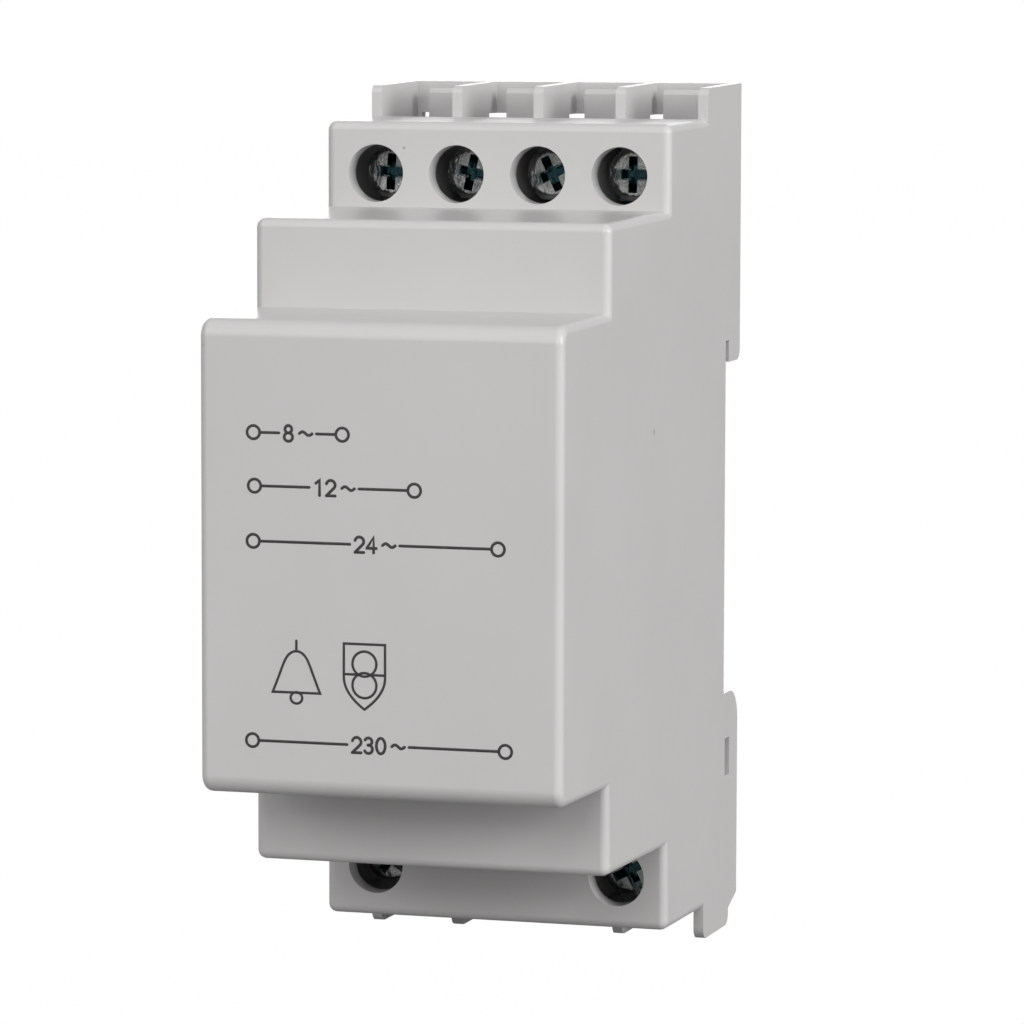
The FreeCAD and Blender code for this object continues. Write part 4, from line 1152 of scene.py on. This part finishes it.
@dataclass
class Leads:
    """Insulated leads with bared, soldered ends, and the thermal link's wire ends."""

    radius: float = 0.6
    bare_radius: float = 0.32
    bare_length: float = 1.6
    solder_radius: float = 0.75
    bend: float = 2.4
    run_steps: int = 40
    bend_steps: int = 12
    drop_share: float = 0.8
    drop_tip: float = 0.02
    askew: tuple[float, float, float] = (0.31, 0.17, 0.9)

    def build(self) -> None:
        """Makes round leads where the solid ones are."""
        white = WHITE_INSULATION.material()
        blue = BLUE_INSULATION.material()
        brown = BROWN_INSULATION.material()
        solder = SOLDER.material()
        bent = {f"secondary_lead_{number}": (white, Slot.WHITE_LEAD) for number in range(1, 5)}
        bent["neutral_lead"] = (blue, Slot.BLUE_LEAD)
        bent["winding_lead"] = (brown, Slot.BROWN_LEAD)
        for node, (material, slot) in bent.items():
            self.bent_lead(node, material, solder)
        low, high = solid_corners("live_lead")
        middle = (low + high) / 2
        ends = np.array([[middle[0], low[1], middle[2]], [middle[0], high[1], middle[2]]])
        self.lay("live_lead", ends[::-1], brown, solder)

    def bent_lead(
        self,
        node: str,
        material: bpy.types.Material,
        solder: bpy.types.Material,
    ) -> None:
        """Lays a lead with a bend between the far corners of its solid's box.

        Args:
            node: the solid that the lead stands for.
            material: the insulation's finish.
            solder: the solder's finish.
        """
        low, high = solid_corners(node)
        upper = high[2] > 0
        left = (low[0] + high[0]) < 0
        level = high[2] - self.radius if upper else low[2] + self.radius
        foot = low[2] if upper else high[2]
        slanted = high[0] - low[0] > 3 * self.radius
        inner, outer = (high[0], low[0]) if left else (low[0], high[0])
        pull = self.radius if slanted else (inner - outer) / 2 * (-1 if left else 1)
        side = 1 if left else -1
        tag_x = inner - side * abs(pull)
        foot_x = outer + side * abs(pull)
        tag = np.array([tag_x, high[1], level])
        corner = np.array([foot_x, low[1] + self.radius, level])
        end = np.array([foot_x, low[1] + self.radius, foot])
        self.lay(node, np.stack([tag, corner, end]), material, solder)

    def lay(
        self,
        node: str,
        corners: np.ndarray,
        material: bpy.types.Material,
        solder: bpy.types.Material,
    ) -> None:
        """The insulation of a lead and a drop of solder on its bared end.

        Args:
            node: the solid that the lead stands for.
            corners: end at the tag, then the bend if there is one, then the other end.
            material: the insulation's finish.
            solder: the solder's finish.
        """
        path = self.path(corners)
        along = unit(np.gradient(path, axis=0))
        aside = np.broadcast_to(unit(np.cross(corners[0] - corners[-1], self.askew)), path.shape)
        if len(corners) == 3:
            flat = unit(np.cross(corners[0] - corners[1], corners[2] - corners[1]))
            aside = np.broadcast_to(flat, path.shape)
        second = unit(np.cross(along, aside))
        first = unit(np.cross(second, along))
        gone = np.linalg.norm(path - path[0], axis=1)
        radius = np.where(gone < self.bare_length, self.bare_radius, self.radius)
        share = gone / self.bare_length / self.drop_share
        blob = self.solder_radius * np.sqrt(np.clip(1 - share**2, 0, 1))
        tube = carry_circle(path, first, second, radius)
        place_piece(f"{node}_insulation", tube, material, "case", (node,))
        keep = gone < self.bare_length
        swell = np.maximum(blob, self.drop_tip)[keep]
        drop = carry_circle(path[keep], first[keep], second[keep], swell)
        place_piece(f"{node}_solder", drop, solder, "case")

    def path(self, corners: np.ndarray) -> np.ndarray:
        """Points along the lead: straight runs, and a quarter circle in the bend.

        Args:
            corners: both ends, with the bend between them if there is one.

        Returns:
            The points from the first end to the last.
        """
        steps = np.linspace(0, 1, self.run_steps)[:, None]
        if len(corners) == 2:
            return corners[0] + (corners[1] - corners[0]) * steps
        back = unit(corners[0] - corners[1])
        ahead = unit(corners[2] - corners[1])
        centre = corners[1] + (back + ahead) * self.bend
        enter, leave = corners[1] + back * self.bend, corners[1] + ahead * self.bend
        angle = np.linspace(0, math.pi / 2, self.bend_steps)[1:-1, None]
        arc = centre - ahead * self.bend * np.cos(angle) - back * self.bend * np.sin(angle)
        return np.vstack([
            corners[0] + (enter - corners[0]) * steps,
            arc,
            leave + (corners[2] - leave) * steps[: self.bend_steps],
            corners[2][None],
        ])


@dataclass
class Windings:
    """The two coils: turns of enamelled wire round the bobbin, in place of the plain solids."""

    corner: float = 2.4
    primary_wire: float = 0.28
    secondary_wire: float = 0.62
    tube_wall: float = 1.1
    squareness: float = 1.45
    points_round: int = 120
    rows_a_wire: int = 8

    def build(self) -> None:
        """Makes both coils."""
        copper = COPPER.material()
        for name, wire in (("primary", self.primary_wire), ("secondary", self.secondary_wire)):
            node = f"{name}_winding"
            turns = self.surface(*solid_corners(node), self.bore(), wire)
            place_piece(f"{name}_turns", turns, copper, "case", (node,))

    def bore(self) -> tuple[float, float]:
        """Half sizes of the hole in the coils: the core's leg, and the bobbin's tube with its play."""
        low, high = solid_corners("core_i_stack")
        return (high[0] - low[0]) / 2 + self.tube_wall, (high[1] - low[1]) / 6 + self.tube_wall

    def surface(
        self, low: np.ndarray, high: np.ndarray, bore: tuple[float, float], wire: float
    ) -> Surface:
        """A ring with turns of wire on its outside.

        The outline is a rectangle with round corners. Going up, the outside swells by half a
        wire's width times the absolute sine of the height in wires, less a climb of one wire a
        turn, so the ridges are the turns of a helix. The bore is a plain rectangle of the same
        point count.

        Args:
            low: the coil's lowest corner.
            high: the coil's highest corner.
            bore: half sizes of the hole.
            wire: thickness of the wire.

        Returns:
            The closed ring.
        """
        centre = (low + high) / 2
        half = (high - low) / 2
        turn = np.linspace(0, TURN, self.points_round, endpoint=False)
        outward = np.stack([np.cos(turn), np.sin(turn)], axis=-1)
        square = np.clip(outward * self.squareness, -1, 1)
        outline = (half[:2] - self.corner) * square + self.corner * outward
        hole = square * np.array(bore)
        rows = int((high[2] - low[2]) / wire * self.rows_a_wire)
        height = np.linspace(low[2], high[2], rows)
        phase = (height[:, None] - low[2]) / wire - turn / TURN
        swell = 0.5 * wire * (np.abs(np.sin(math.pi * phase)) - 1)
        ring = outline[None] + swell[..., None] * outward[None]
        rise = np.broadcast_to(height[:, None, None], (*swell.shape, 1))
        outer = np.concatenate([ring + centre[:2], rise], axis=-1)
        plain = np.broadcast_to(hole + centre[:2], (2, *hole.shape))
        level = np.array([high[2], low[2]])[:, None, None]
        inner = np.concatenate([plain, np.broadcast_to(level, (2, len(turn), 1))], axis=-1)
        return Surface.sheet(np.concatenate([outer, inner]), wrap_rows=True, wrap_columns=True)


@dataclass
class InnerSolids:
    """Solids that keep their own shape and only get a finish."""

    def build(self, nodes: dict[str, bpy.types.Object]) -> None:
        """Dresses cages, contacts, core, bobbin, tapes and thermal link.

        Args:
            nodes: the solid model's objects by name.
        """
        finishes = {
            "terminal_cage": ZINC.material(),
            "terminal_contact": TIN.material(),
            "core_": CORE_STEEL.material(),
            "bobbin": BOBBIN_PLASTIC.material(),
            "primary_tape": COIL_FILM.material(),
            "secondary_tape": COIL_FILM.material(),
            "thermal_link": LINK_PLASTIC.material(),
        }
        for name, node in nodes.items():
            for start, material in finishes.items():
                if name.startswith(start):
                    node.data.materials.clear()
                    node.data.materials.append(material)
                    LOG.info("%s gets %s", name, material.name)


FIGURE_BOX_WIDTH = 0.62


class Figure(Enum):
    """Figures of the printed scale, each as strokes in a box one high and FIGURE_BOX_WIDTH wide."""

    ZERO = "0"
    ONE = "1"
    TWO = "2"
    THREE = "3"
    FOUR = "4"
    EIGHT = "8"

    def strokes(self) -> list[np.ndarray]:
        """The figure's strokes.

        Returns:
            Each stroke as a line of points, across and up.
        """
        if self is Figure.ZERO:
            return [loop(0.31, 0.5, 0.27, 0.46)]
        if self is Figure.ONE:
            return [np.array([[0.14, 0.76], [0.36, 0.94], [0.36, 0.04]])]
        if self is Figure.TWO:
            bow = arc(0.31, 0.68, 0.27, 165, -35)
            return [np.vstack([bow, [[0.04, 0.04]]]), np.array([[0.04, 0.04], [0.58, 0.04]])]
        if self is Figure.THREE:
            return [arc(0.29, 0.73, 0.22, 155, -95), arc(0.29, 0.28, 0.25, 95, -155)]
        if self is Figure.FOUR:
            return [
                np.array([[0.44, 0.04], [0.44, 0.95], [0.03, 0.30]]),
                np.array([[0.03, 0.30], [0.60, 0.30]]),
            ]
        return [loop(0.31, 0.73, 0.21, 0.22), loop(0.31, 0.27, 0.26, 0.25)]


def arc(x: float, z: float, radius: float, start: float, end: float) -> np.ndarray:
    """Points of a circle's arc round a centre, between two angles in degrees."""
    angle = np.radians(np.linspace(start, end, 28))
    return np.stack([x + radius * np.cos(angle), z + radius * np.sin(angle)], axis=-1)


def loop(x: float, z: float, half_width: float, half_height: float) -> np.ndarray:
    """Points of a closed ellipse round a centre, with the first point repeated at the end."""
    angle = np.linspace(0, TURN, 49)
    return np.stack([x + half_width * np.cos(angle), z + half_height * np.sin(angle)], axis=-1)


@dataclass
class NosePrint:
    """The printed scale on the nose: which terminals give which voltage, and two plain signs."""

    line: float = 0.28
    figure_line: float = 0.29
    sign_line: float = 0.25
    ink: float = 0.03
    sunk: float = 0.02
    ring: float = 0.63
    figure_height: float = 1.6
    figure_width: float = 1.0
    figure_gap: float = 0.2
    wave_gap: float = 0.6
    wave_length: float = 1.25
    wave_height: float = 0.17
    label_gap: float = 0.45
    bell_place: tuple[float, float] = (-8.22, -12.6)
    bell_size: tuple[float, float] = (4.75, 3.95)
    sign_place: tuple[float, float] = (-1.43, -10.83)
    sign_size: tuple[float, float] = (4.1, 6.2)
    bell_dome: float = 0.40
    bell_flare: float = 0.60
    bell_stem: float = 1.0
    clapper: tuple[float, float] = (0.58, 0.54)
    clapper_drop: float = 0.5
    shield_power: float = 2.1
    coil_share: float = 0.29
    coil_apart: float = 0.86
    coil_lift: float = 0.2
    bar_gap: float = 0.5
    sharp_angle: float = 50.0
    front: float = field(default=0.0, init=False)
    rows: tuple[tuple[float, float, float, str], ...] = (
        (12.02, -12.49, -3.63, "8"),
        (6.95, -12.39, 3.5, "12"),
        (1.7, -12.53, 11.72, "24"),
        (-17.33, -12.64, 12.48, "230"),
    )

    def build(self) -> None:
        """Prints the scale on the case's front face."""
        self.front = solid_corners("housing_shell")[0][1]
        ink = PRINT_INK.material()
        parts = {
            "print_wiring": self.wiring(),
            "print_figures": self.figures(),
            "print_bell_sign": self.bell(),
            "print_coil_sign": self.coils(),
        }
        for name, surfaces in parts.items():
            print_part = surfaces[0].joined(*surfaces[1:])
            place_piece(name, print_part, ink, "case", (), self.sharp_angle)

    def stroke(self, path: np.ndarray, width: float) -> Surface:
        """A stroke of ink.

        A flat-topped section, half an ellipse of high power, is carried along the path on the
        nose's face, at right angles to it and widened in corners by one over the cosine of half
        the bend. Open ends are rounded: the section shrinks there as a half circle.

        Args:
            path: points on the face, as X and Z.
            width: the stroke's width.

        Returns:
            The closed surface of the stroke.
        """
        closed = np.allclose(path[0], path[-1])
        points = path[:-1] if closed else path
        if closed:
            ahead = unit(np.roll(points, -1, axis=0) - points)
            back = unit(points - np.roll(points, 1, axis=0))
        else:
            step = unit(np.diff(points, axis=0))
            ahead = np.vstack([step, step[-1:]])
            back = np.vstack([step[:1], step])
        along = unit(ahead + back)
        stretch = 1 / np.clip(np.sum(along * ahead, axis=1), 0.55, 1)
        half = np.full(len(points), width / 2) * stretch
        if not closed:
            quarter = np.linspace(0, math.pi / 2, 6)[:-1]
            reach = width / 2 * np.cos(quarter)
            start = points[0] - along[0] * reach[:, None]
            finish = points[-1] + along[-1] * reach[::-1, None]
            tips = np.maximum(width / 2 * np.sin(quarter), 1e-4)
            points = np.vstack([start, points, finish])
            cap = len(quarter)
            along = np.vstack([np.repeat(along[:1], cap, 0), along, np.repeat(along[-1:], cap, 0)])
            half = np.concatenate([tips, half, tips[::-1]])
        aside = np.stack([-along[:, 1], along[:, 0]], axis=-1)
        share = np.linspace(-1, 1, 7)
        rise = self.ink * np.clip(1 - share**6, 0, 1) ** 0.5
        share = np.concatenate([share, [1.0, -1.0]])
        depth = np.concatenate([-rise, [self.sunk, self.sunk]])
        flat = points[:, None] + half[:, None, None] * share[None, :, None] * aside[:, None]
        y = np.broadcast_to(self.front + depth, flat.shape[:2])
        grid = np.stack([flat[..., 0], y, flat[..., 1]], axis=-1)
        tube = Surface.sheet(grid, wrap_rows=bool(closed), wrap_columns=True)
        if closed:
            return tube
        first = np.arange(len(share))
        last = first + (len(points) - 1) * len(share)
        return tube.capped(first, grid[0].mean(axis=0)).capped(last, grid[-1].mean(axis=0))

    def label_width(self, text: str) -> float:
        """Width of a row's figures and the wave after them."""
        figures = len(text) * self.figure_width + (len(text) - 1) * self.figure_gap
        return figures + self.wave_gap + self.wave_length

    def wiring(self) -> list[Surface]:
        """A ring over each terminal of a row, and the lines from the rings to the figures.

        Returns:
            The strokes.
        """
        made = []
        for height, left, right, text in self.rows:
            middle = (left + right) / 2
            gap = self.label_width(text) / 2 + self.label_gap
            edge = self.ring + self.line / 2
            for x in (left, right):
                made.append(self.stroke(loop(x, height, self.ring, self.ring), self.line))
            for start, end in ((left + edge, middle - gap), (middle + gap, right - edge)):
                made.append(self.stroke(np.array([[start, height], [end, height]]), self.line))
        return made

    def figures(self) -> list[Surface]:
        """Each row's figures and the wave of alternating current.

        Returns:
            The strokes.
        """
        made = []
        scale = np.array([self.figure_width / FIGURE_BOX_WIDTH, self.figure_height])
        for height, left, right, text in self.rows:
            x = (left + right) / 2 - self.label_width(text) / 2
            low = height - self.figure_height / 2
            for sign in text:
                for path in Figure(sign).strokes():
                    made.append(self.stroke(path * scale + np.array([x, low]), self.figure_line))
                x += self.figure_width + self.figure_gap
            phase = np.linspace(0, 1, 30)
            wave = self.wave_height * np.sin(TURN * phase)
            along = x - self.figure_gap + self.wave_gap + phase * self.wave_length
            made.append(self.stroke(np.stack([along, height + wave], axis=-1), self.figure_line))
        return made

    def bell(self) -> list[Surface]:
        """A bell: its half width falls from lip to crown as a flare plus a dome.

        Returns:
            The strokes.
        """
        x, low = self.bell_place
        width, height = self.bell_size
        rise = np.sin(np.linspace(0, math.pi / 2, 40))
        dome = self.bell_dome * np.sqrt(1 - rise**8)
        flare = self.bell_flare * (1 - rise) ** 1.15
        half = width / 2 * (dome + flare)
        right = np.stack([x + half, low + height * rise], axis=-1)
        left = np.stack([x - half, low + height * rise], axis=-1)
        outline = np.vstack([right, left[-2::-1], right[:1]])
        stem = np.array([[x, low + height], [x, low + height + self.bell_stem]])
        clapper = loop(x, low - self.clapper_drop, *self.clapper)
        return [self.stroke(path, self.sign_line) for path in (outline, stem, clapper)]

    def coils(self) -> list[Surface]:
        """Two linked rings in a shield whose lower sides fall in as a power of the depth.

        Returns:
            The strokes.
        """
        x, z = self.sign_place
        width, height = self.sign_size
        fall = np.linspace(0, 1, 26)
        half = width / 2 * (1 - fall**self.shield_power)
        shield = np.vstack([
            [[x - width / 2, z + height / 2], [x + width / 2, z + height / 2]],
            np.stack([x + half, z - height * fall / 2], axis=-1),
            np.stack([x - half, z - height * fall / 2], axis=-1)[-2::-1],
            [[x - width / 2, z + height / 2]],
        ])
        radius = width * self.coil_share
        centre = radius * self.coil_apart
        bar = radius * self.bar_gap
        middle = z + self.coil_lift
        paths = [
            shield,
            loop(x, middle + centre, radius, radius),
            loop(x, middle - centre, radius, radius),
            np.array([[x - width / 2, middle], [x - bar, middle]]),
            np.array([[x + bar, middle], [x + width / 2, middle]]),
        ]
        return [self.stroke(path, self.sign_line) for path in paths]


@dataclass
class PhotoCamera:
    """The photograph's camera, fitted to the known sizes of the case."""

    azimuth: float = 17.086
    elevation: float = 5.686
    roll: float = 0.147
    focal_pixels: float = 5263.97
    image_pixels: float = 1024.0
    sensor: float = 36.0
    distance: float = 525.917
    target: tuple[float, float, float] = (2.623, -25.0, 1.711)

    def build(self) -> None:
        """Makes the camera and puts it to use."""
        turn, tilt, roll = (math.radians(v) for v in (self.azimuth, self.elevation, self.roll))
        back = Vector((
            math.sin(turn) * math.cos(tilt),
            -math.cos(turn) * math.cos(tilt),
            math.sin(tilt),
        ))
        level = Vector((math.cos(turn), math.sin(turn), 0.0))
        upright = back.cross(level)
        right = level * math.cos(roll) + upright * math.sin(roll)
        up = back.cross(right)
        data = bpy.data.cameras.new("photo_camera")
        data.sensor_width = self.sensor
        data.lens = self.focal_pixels / self.image_pixels * self.sensor
        data.clip_start = 0.01
        data.clip_end = 20.0
        camera = put_in_scene("photo_camera", data)
        place = (Vector(self.target) + back * self.distance) * MM
        facing = Matrix((right, up, back)).transposed().to_4x4()
        camera.matrix_world = Matrix.Translation(place) @ facing
        bpy.context.scene.camera = camera


@dataclass
class Lamp:
    """A soft rectangular studio lamp that points at the object."""

    name: str
    place: tuple[float, float, float]
    size: tuple[float, float]
    power: float
    colour: Colour = (1.0, 1.0, 1.0)

    def build(self) -> None:
        """Makes the lamp. Its place is in metres from the object's middle."""
        data = bpy.data.lights.new(self.name, "AREA")
        data.shape = "RECTANGLE"
        data.size, data.size_y = self.size
        data.energy = self.power
        data.color = self.colour
        lamp = put_in_scene(self.name, data)
        lamp.location = self.place
        lamp.rotation_mode = "QUATERNION"
        lamp.rotation_quaternion = Vector(self.place).to_track_quat("Z", "Y")


@dataclass
class Studio:
    """White sweep, pale surroundings and soft lamps."""

    floor_size: float = 6.0
    floor_level: float = -50.0
    floor_tone: float = 0.3
    floor_white: float = 0.985
    floor_glow: float = 1.01
    ambient: float = 0.34
    lamps: tuple[Lamp, ...] = (
        Lamp("right_lamp", (1.45, -0.45, 0.5), (0.7, 0.9), 18.7),
        Lamp("left_lamp", (-0.85, -1.1, 0.6), (0.7, 0.9), 4.5),
        Lamp("front_lamp", (0.15, -1.6, 0.7), (0.9, 0.6), 8.1),
        Lamp("top_lamp", (0.0, -0.7, 1.5), (1.0, 0.8), 2.3),
        Lamp("back_lamp", (-0.5, 1.5, 0.2), (0.9, 0.6), 5.0),
    )

    def build(self) -> None:
        """Makes the floor, the surroundings and the lamps."""
        self.floor()
        self.surroundings()
        for lamp in self.lamps:
            lamp.build()
        bpy.context.scene.view_settings.view_transform = "Standard"

    def floor(self) -> None:
        """A white floor: mostly plain white where it is looked at, so only a faint shadow stays."""
        half = self.floor_size / 2
        level = self.floor_level * MM
        mesh = bpy.data.meshes.new("studio_floor")
        corners = [(-half, -half, level), (half, -half, level), (half, half, level), (-half, half, level)]
        mesh.from_pydata(corners, [], [(0, 1, 2, 3)])
        material = bpy.data.materials.new("white_sweep")
        material.use_nodes = True
        graph = Graph(material.node_tree)
        tone = self.floor_tone
        paper = graph.node("BsdfDiffuse", Color=(tone, tone, tone, 1.0))
        glow = graph.node("Emission", Color=(1.0, 1.0, 1.0, 1.0), Strength=self.floor_glow)
        seen = graph.math("MULTIPLY", self.seen(graph), self.floor_white)
        blend = graph.node("MixShader", Fac=seen)
        graph.feed(blend, 1, paper.outputs[0])
        graph.feed(blend, 2, glow.outputs[0])
        graph.node("OutputMaterial", Surface=blend.outputs[0])
        mesh.materials.append(material)
        put_in_scene("studio_floor", mesh)

    def surroundings(self) -> None:
        """White where the camera looks at the world, and a soft grey light elsewhere."""
        world = bpy.data.worlds.new("studio_world")
        world.use_nodes = True
        graph = Graph(world.node_tree)
        light = graph.node("Background", Color=(1.0, 1.0, 1.0, 1.0), Strength=self.ambient)
        white = graph.node("Background", Color=(1.0, 1.0, 1.0, 1.0), Strength=1.0)
        blend = graph.node("MixShader", Fac=self.seen(graph))
        graph.feed(blend, 1, light.outputs[0])
        graph.feed(blend, 2, white.outputs[0])
        graph.node("OutputWorld", Surface=blend.outputs[0])
        bpy.context.scene.world = world

    @staticmethod
    def seen(graph: Graph) -> bpy.types.NodeSocket:
        """One for rays that come straight from the camera, else zero."""
        return graph.node("LightPath").outputs["Is Camera Ray"]


def main() -> None:
    """Loads the solids, dresses them and sets the scene."""
    logging.basicConfig(level=logging.INFO, format="%(name)s: %(message)s")
    for item in list(bpy.data.objects):
        bpy.data.objects.remove(item)
    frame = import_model()
    nodes = frame["nodes"]
    Mouldings().build(nodes)
    InnerSolids().build(nodes)
    TerminalScrew().build()
    ClipSpring().build()
    Leads().build()
    Windings().build()
    NosePrint().build()
    PhotoCamera().build()
    Studio().build()


if __name__ == "__main__":
    main()
